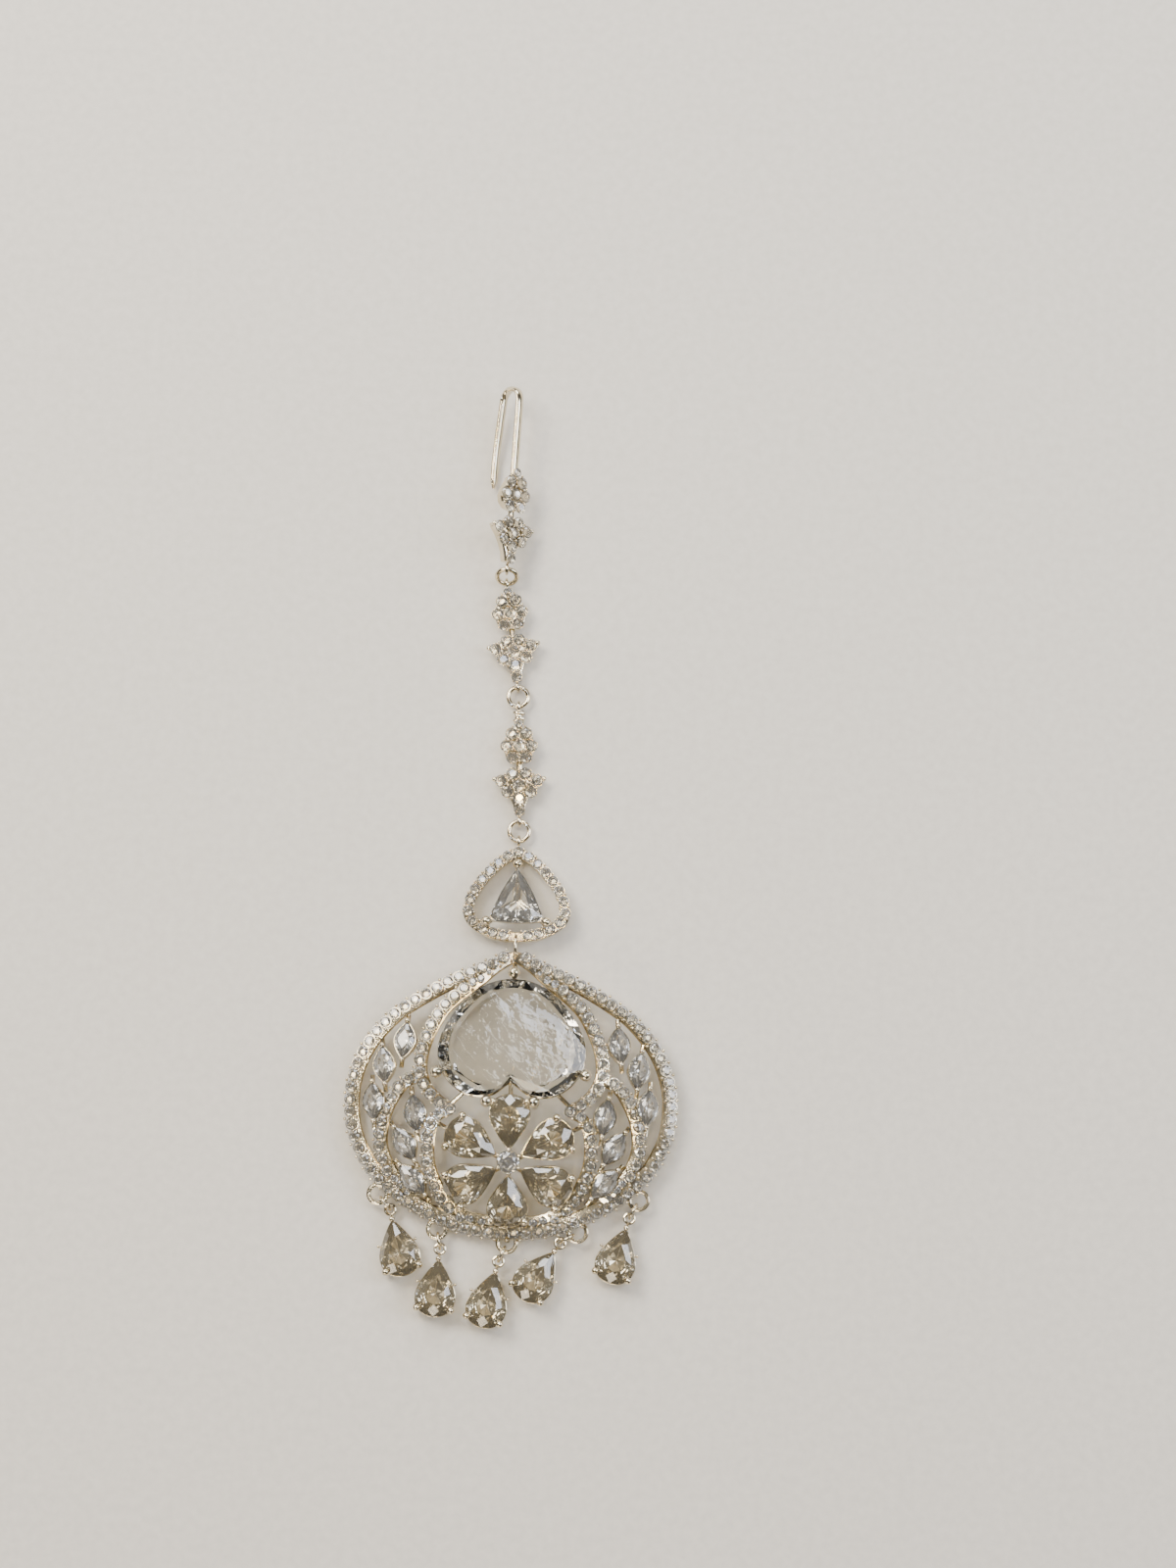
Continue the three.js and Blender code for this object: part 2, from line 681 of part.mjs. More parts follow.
function hookLink() {
  const middle = linkHeight / 2;
  const legEnd = linkTop + hookLength - hookGap / 2;
  const course = [new THREE.Vector3(0, linkTop - neckWidth, middle), new THREE.Vector3(0, legEnd, middle)];
  const bendSteps = 6;
  for (let i = 1; i <= bendSteps; i += 1) {
    const turn = Math.PI * i / bendSteps;
    course.push(new THREE.Vector3(
      0, legEnd + Math.sin(turn) * hookGap / 2, middle - hookGap / 2 + Math.cos(turn) * hookGap / 2,
    ));
  }
  course.push(new THREE.Vector3(0, linkTop + hookLength - hookReturn, middle - hookGap));
  const half = hookWire / 2;
  const outlinePoints = (side) => course.map((point, i) => {
    const before = course[Math.max(0, i - 1)];
    const after = course[Math.min(course.length - 1, i + 1)];
    const way = after.clone().sub(before).normalize();
    return new THREE.Vector2(point.y - way.z * half * side, point.z + way.y * half * side);
  });
  const shape = new THREE.Shape([...outlinePoints(1), ...outlinePoints(-1).reverse()]);
  const wire = extruded(shape, -hookWidth / 2, hookWidth);
  wire.applyMatrix4(new THREE.Matrix4().makeBasis(
    new THREE.Vector3(0, 1, 0), new THREE.Vector3(0, 0, 1), new THREE.Vector3(1, 0, 0),
  ));
  const loop = torus(loopRadius, loopWire).rotateY(Math.PI / 2 - radians(hookRoll));
  loop.translate(0, kiteLoop, middle);
  return named('hook_link', geometryOf(joined([linkBody(), solid(wire), solid(loop)])), rhodium);
}

function ringBetween(name, from, to) {
  const ring = named(name, torus(ringRadius, ringWire), rhodium);
  const run = to.clone().sub(from);
  const across = new THREE.Vector3(run.y, -run.x, 0).normalize();
  const along = run.clone().normalize();
  const up = across.clone().cross(along);
  ring.quaternion.setFromRotationMatrix(new THREE.Matrix4().makeBasis(across, along, up));
  ring.position.copy(from).add(to).multiplyScalar(0.5);
  return ring;
}

function chainParts() {
  const parts = [];
  let spot = new THREE.Vector3(0, triangleLoop(), loopHeight);
  chain.forEach(([ringLean, linkLean], i) => {
    const last = i === chain.length - 1;
    const rise = last ? hookLinkHeight - loopHeight : 0;
    const span = Math.sqrt((2 * ringRadius) ** 2 - rise ** 2);
    const lean = radians(ringLean);
    const next = spot.clone().add(new THREE.Vector3(-Math.sin(lean) * span, Math.cos(lean) * span, rise));
    parts.push(ringBetween(`ring_${chain.length - i}`, spot, next));
    const turn = radians(linkLean);
    const way = new THREE.Vector3(-Math.sin(turn), Math.cos(turn), 0);
    if (last) {
      parts.push(hookPlaced(next, turn));
      return;
    }
    const shank = i === 0 ? shankLength : 0;
    const link = chainLink(`link_${chain.length - i}`, shank);
    link.rotation.z = turn;
    link.position.set(next.x, next.y, 0).addScaledVector(way, -kiteLoop);
    parts.push(link);
    spot = next.clone().addScaledVector(way, linkTop + shank + loopRadius - kiteLoop);
  });
  return parts;
}

function hookPlaced(spot, turn) {
  const link = hookLink();
  link.position.set(0, -kiteLoop, -linkHeight / 2);
  const rolled = new THREE.Group();
  rolled.add(link);
  rolled.rotation.y = radians(hookRoll);
  const group = new THREE.Group();
  group.add(rolled);
  group.rotation.set(radians(hookPitch), 0, turn, 'ZXY');
  group.position.copy(spot);
  return group;
}

// Drops: a ring through the eyelet, a loop, a basket and its stone

function dropGroup([across, along, ringLean, dropLean], i) {
  const eyelet = place([across, along]);
  const lean = radians(ringLean);
  const way = new THREE.Vector2(Math.sin(lean), -Math.cos(lean));
  const ringAt = eyeletRadius - eyeletWire - dropRingWire - clearance + dropRingRadius;
  const ring = named(`drop_ring_${i + 1}`, torus(dropRingRadius, dropRingWire), rhodium);
  ring.rotation.set(0, Math.PI / 2, 0);
  const turned = new THREE.Group();
  turned.add(ring);
  turned.rotation.z = lean;
  turned.position.set(eyelet.x + way.x * ringAt, eyelet.y + way.y * ringAt, eyeletHeight);

  const loopAt = ringAt + dropRingRadius;
  const hang = new THREE.Group();
  hang.add(dropSetting(i), dropStone(i));
  hang.rotation.z = radians(dropLean) + Math.PI;
  hang.position.set(eyelet.x + way.x * loopAt, eyelet.y + way.y * loopAt, 0);
  return [turned, hang];
}

const dropTip = loopRadius + dropProng / 2;
const dropFrom = dropTip + dropProng + clearance;

function dropSetting(i) {
  const outline = pear(dropLength, dropWidth);
  const centre = new THREE.Vector2(0, dropLength * pearMiddle);
  const seatPoints = outline.map((point) => new THREE.Vector2(
    point.x * dropSeat, dropFrom + centre.y + (point.y - centre.y) * dropSeat,
  ));
  const seatLine = spline(seatPoints, true);
  const seatStep = seatLine.getLength() / dropSeatSides;
  const seat = ribbon(seatLine, wireWidth, wireBase, wireHeight, true, seatStep);
  const loop = solid(torus(loopRadius, loopWire).translate(0, 0, eyeletHeight));
  const tip = new THREE.Vector2(0, dropTip);
  const parts = [seat, loop, prong(tip.x, tip.y, dropSeatHeight, dropProng)];
  parts.push(bar(tip, new THREE.Vector2(0, dropFrom + dropLength * 0.25), wireWidth, wireBase, wireHeight));
  [-1, 1].forEach((side) => {
    const spot = new THREE.Vector2(side * (dropWidth * 0.37 + dropProng), dropFrom + dropLength * 0.9);
    parts.push(prong(spot.x, spot.y, dropSeatHeight, dropProng));
  });
  return named(`drop_setting_${i + 1}`, geometryOf(joined(parts)), rhodium);
}

function dropStone(i) {
  const cut = { table: 0.5, crown: 1, pavilion: dropSeatHeight - clearance };
  const centre = new THREE.Vector2(0, dropLength * pearMiddle);
  const geometry = cutStone(pear(dropLength, dropWidth), centre, cut);
  return named(`drop_stone_${i + 1}`, geometry.translate(0, dropFrom, dropSeatHeight), clearStone);
}

const tikka = new THREE.Group();
tikka.add(pendantFrame(), heartStone(), flowerStoneMesh(), pendantRing(), triangleGroup());
tikka.add(...petalSeats.map(petalStone), ...leafSeats.map(leafStone));
tikka.add(...chainParts(), ...drops.flatMap(dropGroup));

// The origin is under the middle of the whole jewel, on the surface that it lies on.
const reach = new THREE.Box3().setFromObject(tikka, true);
const middle = reach.getCenter(new THREE.Vector3());
tikka.position.set(-middle.x, -middle.y, -reach.min.z);

export default tikka;
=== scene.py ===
import math

import bpy
from mathutils import Euler, Matrix, Vector


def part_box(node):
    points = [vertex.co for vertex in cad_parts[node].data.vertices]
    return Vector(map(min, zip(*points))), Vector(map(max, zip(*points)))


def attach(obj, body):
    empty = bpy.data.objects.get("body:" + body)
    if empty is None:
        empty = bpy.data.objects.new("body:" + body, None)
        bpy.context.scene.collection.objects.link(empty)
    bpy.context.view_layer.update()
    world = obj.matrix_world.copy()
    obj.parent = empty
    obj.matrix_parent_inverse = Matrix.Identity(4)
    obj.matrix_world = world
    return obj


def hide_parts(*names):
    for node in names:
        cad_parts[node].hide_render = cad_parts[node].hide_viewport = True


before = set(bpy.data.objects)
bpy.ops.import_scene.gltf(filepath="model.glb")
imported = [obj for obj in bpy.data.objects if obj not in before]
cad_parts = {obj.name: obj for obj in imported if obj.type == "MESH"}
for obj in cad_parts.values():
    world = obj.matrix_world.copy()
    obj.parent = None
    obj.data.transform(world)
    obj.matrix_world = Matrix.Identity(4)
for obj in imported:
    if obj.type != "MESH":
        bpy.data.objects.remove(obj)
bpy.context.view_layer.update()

# Everything is modelled in millimetres around the heart's foot line, then put in the frame at metres
mm = 0.001
pendant = {
    "halfWidth": 19.6, "topReach": 17.1, "footReach": 16.9, "bandWidth": 1.95, "bandHeight": 1.6,
    "domeSide": 60, "domeTop": 60, "domeFoot": 36, "domeCentre": -1,
    "pitch": 1.5, "stone": 1.46, "clearance": 0.15,
}
railSize = {"width": 1.4, "top": 1.15, "corner": 0.18}
wireRun = {"height": 0.8, "radius": 0.3}
rim = {"radius": 1.15, "wire": 0.28, "height": 1.25}
triangle = {
    "foot": 19.64, "height": 10.9, "halfWidth": 6.1, "band": 1.75, "rise": 0.9,
    "stoneFoot": 21.44, "stoneHeight": 7.1, "stoneHalfWidth": 3.6, "seat": 2.3, "prong": 0.62,
}
ringMiddle = (pendant["topReach"] + triangle["foot"]) / 2
low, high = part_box("pendant_ring")
toFrame = Matrix.Translation((0, (low[1] + high[1]) / 2 - ringMiddle * mm, 0)) @ Matrix.Scale(mm, 4)


# Small helpers for selecting, finishing and placing pieces

def nothingSelected():
    if bpy.context.object and bpy.context.object.mode != "OBJECT":
        bpy.ops.object.mode_set(mode="OBJECT")
    bpy.ops.object.select_all(action="DESELECT")


def onlySelected(piece):
    nothingSelected()
    piece.select_set(True)
    bpy.context.view_layer.objects.active = piece


def settled(piece):
    onlySelected(piece)
    bpy.ops.object.transform_apply(location=True, rotation=True, scale=True)
    return piece


def meshPiece(name, corners, faces):
    mesh = bpy.data.meshes.new(name)
    mesh.from_pydata(corners, [], faces)
    piece = bpy.data.objects.new(name, mesh)
    bpy.context.collection.objects.link(piece)
    onlySelected(piece)
    return piece


def joinedAs(name, pieces):
    nothingSelected()
    for piece in pieces:
        piece.select_set(True)
    bpy.context.view_layer.objects.active = pieces[0]
    if len(pieces) > 1:
        bpy.ops.object.join()
    bpy.context.object.name = name
    return bpy.context.object


def applied(piece, kind, **settings):
    onlySelected(piece)
    modifier = piece.modifiers.new(kind.title(), kind)
    for setting, value in settings.items():
        setattr(modifier, setting, value)
    bpy.ops.object.modifier_apply(modifier=modifier.name)
    return piece


def finished(piece, nodes, material, place=None, smooth=None):
    settled(piece)
    piece.data.transform(toFrame @ (place or Matrix.Identity(4)))
    piece.data.materials.clear()
    piece.data.materials.append(material)
    if smooth:
        onlySelected(piece)
        bpy.ops.object.shade_smooth_by_angle(angle=math.radians(smooth))
    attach(piece, "root")
    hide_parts(*nodes)
    return piece


# Lines and heights shared by the pieces

def flat(across, along):
    reach = pendant["topReach"] if along > 0 else pendant["footReach"]
    return Vector((across * pendant["halfWidth"], along * reach, 0))


def mirroredRun(half):
    left = [Vector((-p.x, p.y, p.z)) for p in half if p.x > 0]
    return half + left[::-1]


def domeAt(x, y):
    along = y - pendant["domeCentre"]
    radius = pendant["domeTop"] if along > 0 else pendant["domeFoot"]
    return -x * x / (2 * pendant["domeSide"]) - along * along / (2 * radius)


domeBase = -domeAt(0, -pendant["footReach"] - pendant["bandWidth"] / 2)


def slopeAt(x, y):
    along = y - pendant["domeCentre"]
    radius = pendant["domeTop"] if along > 0 else pendant["domeFoot"]
    return Vector((-x / pendant["domeSide"], -along / radius))


def ontoDome(point):
    return Vector((point.x, point.y, point.z + domeBase + domeAt(point.x, point.y)))


def upAt(x, y):
    slope = slopeAt(x, y)
    return Vector((-slope.x, -slope.y, 1)).normalized()


def seatMatrix(x, y, height, turn):
    tilt = Vector((0, 0, 1)).rotation_difference(upAt(x, y)).to_matrix().to_4x4()
    spot = Vector((x, y, domeBase + domeAt(x, y) + height))
    return Matrix.Translation(spot) @ tilt @ Matrix.Rotation(turn, 4, "Z")


def girdleNear(seat, x, y):
    slope = slopeAt(seat["x"], seat["y"])
    rise = slope.x * (x - seat["x"]) + slope.y * (y - seat["y"])
    return domeBase + domeAt(seat["x"], seat["y"]) + seat["height"] + rise


# A centripetal curve through the points, sampled evenly
def smoothRun(points, closed, step):
    count = len(points)
    fine = []
    spans = count if closed else count - 1
    for i in range(spans):
        if closed:
            quad = [points[(i + k - 1) % count] for k in range(4)]
        else:
            before = points[i - 1] if i else points[0] * 2 - points[1]
            after = points[i + 2] if i + 2 < count else points[-1] * 2 - points[-2]
            quad = [before, points[i], points[i + 1], after]
        knots = [0]
        for a, b in zip(quad, quad[1:]):
            knots.append(knots[-1] + max((b - a).length, 1e-6) ** 0.5)
        for k in range(16):
            t = knots[1] + (knots[2] - knots[1]) * k / 16
            row = quad
            for level in range(1, 4):
                row = [
                    row[j] * ((knots[j + level] - t) / (knots[j + level] - knots[j]))
                    + row[j + 1] * ((t - knots[j]) / (knots[j + level] - knots[j]))
                    for j in range(4 - level)
                ] if level < 3 else [
                    row[0] * ((knots[2] - t) / (knots[2] - knots[1]))
                    + row[1] * ((t - knots[1]) / (knots[2] - knots[1]))
                ]
            fine.append(row[0])
    fine.append(points[0] if closed else points[-1])
    lengths = [0]
    for a, b in zip(fine, fine[1:]):
        lengths.append(lengths[-1] + (b - a).length)
    steps = max(2, round(lengths[-1] / step))
    run, j = [], 0
    for i in range(steps if closed else steps + 1):
        target = lengths[-1] * i / steps
        while j < len(lengths) - 2 and lengths[j + 1] < target:
            j += 1
        share = (target - lengths[j]) / max(lengths[j + 1] - lengths[j], 1e-9)
        run.append(fine[j].lerp(fine[j + 1], min(1, share)))
    return run


def pickFaces(piece, test):
    onlySelected(piece)
    bpy.ops.object.mode_set(mode="EDIT")
    bpy.ops.mesh.select_mode(type="FACE")
    bpy.ops.mesh.select_all(action="DESELECT")
    bpy.ops.object.mode_set(mode="OBJECT")
    for face in piece.data.polygons:
        face.select = test(face)
    bpy.ops.object.mode_set(mode="EDIT")


# Makers: a swept rail, a round wire, many copies of one thing, a faceted stone

def curveOf(points, closed, kind="POLY"):
    curve = bpy.data.curves.new("run", "CURVE")
    curve.dimensions = "3D"
    curve.twist_mode = "Z_UP"
    spline = curve.splines.new(kind)
    spline.points.add(len(points) - 1)
    for slot, point in zip(spline.points, points):
        slot.co = (*point, 1)
    spline.use_cyclic_u = closed
    piece = bpy.data.objects.new("run", curve)
    bpy.context.collection.objects.link(piece)
    return piece


def meshed(piece):
    onlySelected(piece)
    bpy.ops.object.convert(target="MESH")
    piece = bpy.context.object
    bpy.ops.object.mode_set(mode="EDIT")
    bpy.ops.mesh.select_all(action="SELECT")
    bpy.ops.mesh.remove_doubles(threshold=1e-5)
    bpy.ops.mesh.normals_make_consistent(inside=False)
    bpy.ops.object.mode_set(mode="OBJECT")
    return piece


def rail(points, closed, section):
    profile = curveOf([Vector((x, y, 0)) for x, y in section], True)
    piece = curveOf(points, closed)
    piece.data.bevel_mode = "OBJECT"
    piece.data.bevel_object = profile
    piece.data.use_fill_caps = True
    made = meshed(piece)
    bpy.data.objects.remove(profile)
    return made


def wire(points, closed, radius, sides=3):
    piece = curveOf(points, closed)
    piece.data.bevel_depth = radius
    piece.data.bevel_resolution = sides
    piece.data.use_fill_caps = True
    return meshed(piece)


def boxSection(width, bottom, top, round_):
    half = width / 2
    return [
        (-half, bottom + round_), (-half + round_, bottom), (half - round_, bottom), (half, bottom + round_),
        (half, top - round_), (half - round_, top), (-half + round_, top), (-half, top - round_),
    ]


# One copy of the master at every seat, which is a place, a turn and a size
def copies(name, master, seats):
    points = bpy.data.meshes.new(name)
    points.from_pydata([seat[0] for seat in seats], [], [])
    turns = points.attributes.new("turn", "FLOAT_VECTOR", "POINT")
    sizes = points.attributes.new("size", "FLOAT_VECTOR", "POINT")
    for i, (_, turn, size) in enumerate(seats):
        turns.data[i].vector = turn
        sizes.data[i].vector = size if hasattr(size, "__len__") else (size, size, size)
    piece = bpy.data.objects.new(name, points)
    bpy.context.collection.objects.link(piece)
    tree = bpy.data.node_groups.new("copies", "GeometryNodeTree")
    tree.interface.new_socket("Geometry", in_out="INPUT", socket_type="NodeSocketGeometry")
    tree.interface.new_socket("Geometry", in_out="OUTPUT", socket_type="NodeSocketGeometry")
    source = tree.nodes.new("NodeGroupInput")
    target = tree.nodes.new("NodeGroupOutput")
    thing = tree.nodes.new("GeometryNodeObjectInfo")
    thing.inputs["Object"].default_value = master
    place = tree.nodes.new("GeometryNodeInstanceOnPoints")
    real = tree.nodes.new("GeometryNodeRealizeInstances")
    for socket, attribute in (("Rotation", "turn"), ("Scale", "size")):
        read = tree.nodes.new("GeometryNodeInputNamedAttribute")
        read.data_type = "FLOAT_VECTOR"
        read.inputs["Name"].default_value = attribute
        tree.links.new(read.outputs["Attribute"], place.inputs[socket])
    tree.links.new(source.outputs[0], place.inputs["Points"])
    tree.links.new(thing.outputs["Geometry"], place.inputs["Instance"])
    tree.links.new(place.outputs[0], real.inputs[0])
    tree.links.new(real.outputs[0], target.inputs[0])
    onlySelected(piece)
    modifier = piece.modifiers.new("Copies", "NODES")
    modifier.node_group = tree
    bpy.ops.object.modifier_apply(modifier=modifier.name)
    for attribute in ("turn", "size"):
        if attribute in piece.data.attributes:
            piece.data.attributes.remove(piece.data.attributes[attribute])
    return piece


def turnTo(up, spin=0):
    return (Vector((0, 0, 1)).rotation_difference(up) @ Euler((0, 0, spin)).to_quaternion()).to_euler()


# Distance from the middle of an outline to its edge in one direction
def outlineRadius(outline, angle):
    way = Vector((math.cos(angle), math.sin(angle)))
    best = 0
    for a, b in zip(outline, outline[1:] + outline[:1]):
        run = b - a
        cross = way.x * run.y - way.y * run.x
        if abs(cross) < 1e-9:
            continue
        far = (a.x * run.y - a.y * run.x) / cross
        share = (a.x * way.y - a.y * way.x) / cross
        if far > 0 and -1e-6 <= share <= 1 + 1e-6:
            best = max(best, far)
    return best


# Rings of corners pulled onto the outline and wrapped in facets
def gem(name, outline, cut):
    crown, pavilion, sides = cut["crown"], cut["pavilion"], cut["sides"]
    half = math.pi / sides
    rings = [
        (sides, cut["table"], crown, half), (sides, (1 + cut["table"]) / 2 + 0.03, crown * 0.56, 0),
        (sides * 2, 1, 0.03 * crown, 0), (sides * 2, 1, -0.08 * crown, 0),
        (sides, 0.56, -pavilion * 0.54, half), (sides, 0.03, -pavilion, 0),
    ]
    nothingSelected()
    for i, (count, share, height, turn) in enumerate(rings):
        bpy.ops.mesh.primitive_circle_add(
            vertices=count, radius=share, location=(0, 0, height), rotation=(0, 0, turn + math.pi / 2)
        )
        if i == 0:
            bpy.ops.object.mode_set(mode="EDIT")
    bpy.ops.object.mode_set(mode="OBJECT")
    stone = bpy.context.object
    for corner in stone.data.vertices:
        place = corner.co + stone.location
        grow = outlineRadius(outline, math.atan2(place.y, place.x))
        corner.co = Vector((place.x * grow, place.y * grow, place.z))
    stone.location = (0, 0, 0)
    stone.rotation_euler = (0, 0, 0)
    bpy.ops.object.mode_set(mode="EDIT")
    bpy.ops.mesh.select_all(action="SELECT")
    bpy.ops.mesh.convex_hull(join_triangles=True, face_threshold=0.02, shape_threshold=0.02)
    bpy.ops.mesh.select_all(action="SELECT")
    bpy.ops.mesh.normals_make_consistent(inside=False)
    bpy.ops.object.mode_set(mode="OBJECT")
    stone.name = name
    return stone


def brilliant(name, radius, height=0.62):
    circle = [Vector((math.cos(math.pi * i / 12), math.sin(math.pi * i / 12))) for i in range(24)]
    stone = gem(name, circle, {"table": 0.56, "crown": 0.42, "pavilion": height * 1.3, "sides": 8})
    stone.scale = (radius, radius, radius)
    return settled(stone)


def ball(spot, radius, segments=14, rings=8):
    bpy.ops.mesh.primitive_uv_sphere_add(segments=segments, ring_count=rings, radius=radius, location=spot)
    return bpy.context.object


# A post that leans a little over the stone and ends in a ball
def prong(foot, top, radius):
    middle = foot.lerp(top, 0.6) + (foot - top) * 0.02
    return [wire([foot, middle, top], False, radius * 0.6, 2), ball(top, radius)]


def torusAt(spot, turn, radius, thickness, major=36, minor=10):
    bpy.ops.mesh.primitive_torus_add(
        major_segments=major, minor_segments=minor, major_radius=radius, minor_radius=thickness,
        location=spot, rotation=turn,
    )
    return bpy.context.object


# Materials: colours as sRGB hex, patterns sized in metres of the real jewel

def linear(code):
    parts = [int(code[i:i + 2], 16) / 255 for i in (1, 3, 5)]
    return (*[p / 12.92 if p <= 0.04045 else ((p + 0.055) / 1.055) ** 2.4 for p in parts], 1)


def addNode(tree, kind, inputs, **settings):
    node = tree.nodes.new("ShaderNode" + kind)
    for setting, value in settings.items():
        setattr(node, setting, value)
    for socket, value in inputs.items():
        if isinstance(value, bpy.types.NodeSocket):
            tree.links.new(value, node.inputs[socket])
        else:
            node.inputs[socket].default_value = value
    return node


def ramp(tree, factor, *stops):
    node = addNode(tree, "ValToRGB", {"Fac": factor})
    for element, (place, colour) in zip(node.color_ramp.elements, stops):
        element.position = place
        element.color = linear(colour) if isinstance(colour, str) else (colour, colour, colour, 1)
    return node.outputs["Color"]


def newMaterial(name):
    made = bpy.data.materials.new(name)
    made.use_nodes = True
    return made, made.node_tree, made.node_tree.nodes["Principled BSDF"]


# Rhodium plate over brass, buffed: a warm grey drift, hairline buffing marks and softer dull patches
def rhodiumPlate(name, bright, dull, rough):
    made, tree, shader = newMaterial(name)
    spot = addNode(tree, "TexCoord", {}).outputs["Object"]
    drift = addNode(tree, "TexNoise", {"Vector": spot, "Scale": 260, "Detail": 3})
    warmth = ramp(tree, drift.outputs["Fac"], (0.35, dull), (0.65, bright))
    tree.links.new(warmth, shader.inputs["Base Color"])
    haze = addNode(tree, "TexNoise", {"Vector": spot, "Scale": 900, "Detail": 2})
    tree.links.new(
        ramp(tree, haze.outputs["Fac"], (0.3, rough), (0.75, rough + 0.12)), shader.inputs["Roughness"]
    )
    stretched = addNode(tree, "Mapping", {"Vector": spot, "Scale": (1, 6, 2), "Rotation": (0.3, 0.2, 0.7)})
    marks = addNode(tree, "TexNoise", {"Vector": stretched.outputs[0], "Scale": 2600, "Detail": 2})
    dents = addNode(tree, "Bump", {"Height": marks.outputs["Fac"], "Strength": 0.12, "Distance": 0.00003})
    tree.links.new(dents.outputs[0], shader.inputs["Normal"])
    shader.inputs["Metallic"].default_value = 1
    return made


# Cut stone: clear, high bending of light, faint wipe marks, slanting scratches and a polish that ripples
def zirconia(name, colour, index, clear, marks, ripple=0.000002):
    made, tree, shader = newMaterial(name)
    spot = addNode(tree, "TexCoord", {}).outputs["Object"]
    wipe = addNode(tree, "TexNoise", {"Vector": spot, "Scale": 700, "Detail": 3})
    tree.links.new(
        ramp(tree, wipe.outputs["Fac"], (0.45, 0), (0.8, 0.05)), shader.inputs["Roughness"]
    )
    slanted = addNode(
        tree, "Mapping", {"Vector": spot, "Scale": (9, 0.35, 1), "Rotation": (0, 0, -0.87)},
        vector_type="TEXTURE",
    )
    lines = addNode(tree, "TexNoise", {"Vector": slanted.outputs[0], "Scale": 700, "Detail": 2})
    ridges = ramp(tree, lines.outputs["Fac"], (0.66, 0), (0.7, 1))
    waves = addNode(tree, "TexNoise", {"Vector": spot, "Scale": 420, "Detail": 3})
    soft = addNode(tree, "Bump", {"Height": waves.outputs["Fac"], "Strength": 1, "Distance": ripple})
    dents = addNode(
        tree, "Bump",
        {"Height": ridges, "Strength": marks, "Distance": 0.00003, "Normal": soft.outputs["Normal"]},
    )
    tree.links.new(dents.outputs[0], shader.inputs["Normal"])
    shader.inputs["Base Color"].default_value = linear(colour)
    shader.inputs["Transmission Weight"].default_value = clear
    shader.inputs["IOR"].default_value = index
    return made


metal = rhodiumPlate("polishedRhodiumPlate", "#ece1c9", "#d1c5a8", 0.1)
clearStone = zirconia("clearCubicZirconia", "#fffefa", 2.1, 0.94, 0.02)
heartGlass = zirconia("clearHeartGlass", "#fbf8ee", 1.7, 1, 0.2, 0.00006)
warmStone = zirconia("champagneCubicZirconia", "#fbefd0", 2.1, 0.94, 0.02)

# Pendant bands
outerBand = [
    (0, 1), (0.13, 0.92), (0.25, 0.86), (0.37, 0.8), (0.5, 0.72), (0.63, 0.63), (0.74, 0.54), (0.86, 0.39),
    (0.94, 0.24), (0.99, 0.06), (1, -0.12), (0.98, -0.29), (0.91, -0.48), (0.82, -0.62), (0.64, -0.78),
    (0.5, -0.865), (0.34, -0.945), (0.2, -0.98), (0, -1),
]
heartLoop = [
    (0, 0.99), (0.09, 0.94), (0.22, 0.81), (0.34, 0.7), (0.44, 0.585), (0.51, 0.445), (0.555, 0.305),
    (0.57, 0.15), (0.535, 0.02), (0.455, -0.08), (0.37, -0.14),
]
flowerRing = [
    (0.37, -0.14), (0.46, -0.19), (0.5, -0.295), (0.51, -0.415), (0.5, -0.545), (0.465, -0.66),
    (0.41, -0.77), (0.32, -0.87), (0.2, -0.93), (0, -0.945),
]
crescent = [
    (0.565, 0.1), (0.67, 0.05), (0.745, -0.07), (0.795, -0.21), (0.81, -0.38), (0.78, -0.51),
    (0.735, -0.61), (0.67, -0.7), (0.6, -0.78),
]
leaves = [
    (0.685, 0.355, -6), (0.815, 0.175, 6), (0.875, -0.095, 4), (0.605, -0.18, 9), (0.665, -0.405, 33),
    (0.61, -0.665, 42),
]
petals = [
    (90, 1, 1), (152, 1.15, 1.03), (208, 1.15, 1.03), (270, 1, 0.97), (332, 1.15, 1.03), (28, 1.15, 1.03),
]
drops = [
    (-0.83, -0.765, 40, 14), (-0.445, -1.01, 10, -4), (0, -1.1, -23, -13), (0.445, -1.01, -56, -33),
    (0.83, -0.765, -26, -16),
]


def onBand(shares, side=1):
    return [flat(side * across, along) for across, along in shares]


bands = [
    (onBand(outerBand) + onBand(outerBand[1:-1], -1)[::-1], True),
    (onBand(heartLoop, -1)[::-1] + onBand(heartLoop[1:]), False),
    (onBand(flowerRing, -1) + onBand(flowerRing[:-1])[::-1], False),
    (onBand(crescent), False),
    (onBand(crescent, -1), False),
]


# Stones along the bands with a bead at each side between neighbours
def rowSeats(run, closed, taken, pitch, lift):
    stones, beads = [], []
    count = len(run)
    for i, spot in enumerate(run):
        before = run[i - 1] if i or closed else run[i]
        after = run[(i + 1) % count] if i + 1 < count or closed else run[i]
        way = (after - before).normalized()
        side = Vector((-way.y, way.x, 0))
        room = min((spot - other).length for other in taken)
        if room > pitch * 0.9:
            taken.append(spot)
            stones.append(spot)
        middle = (spot + after) / 2
        if after is not run[i]:
            beads += [middle + side * lift, middle - side * lift]
    return stones, beads


taken = [flat(0, 1)]
stoneSpots, beadSpots = [], []
frameParts = []
for line, closed in bands:
    course = [ontoDome(point) for point in smoothRun(line, closed, 0.7)]
    section = boxSection(railSize["width"], 0, railSize["top"], railSize["corner"])
    frameParts.append(rail(course, closed, section))
    run = smoothRun(line, closed, pendant["pitch"])
    stones, beads = rowSeats(run, closed, taken, pendant["pitch"], 0.7)
    stoneSpots += stones
    beadSpots += beads
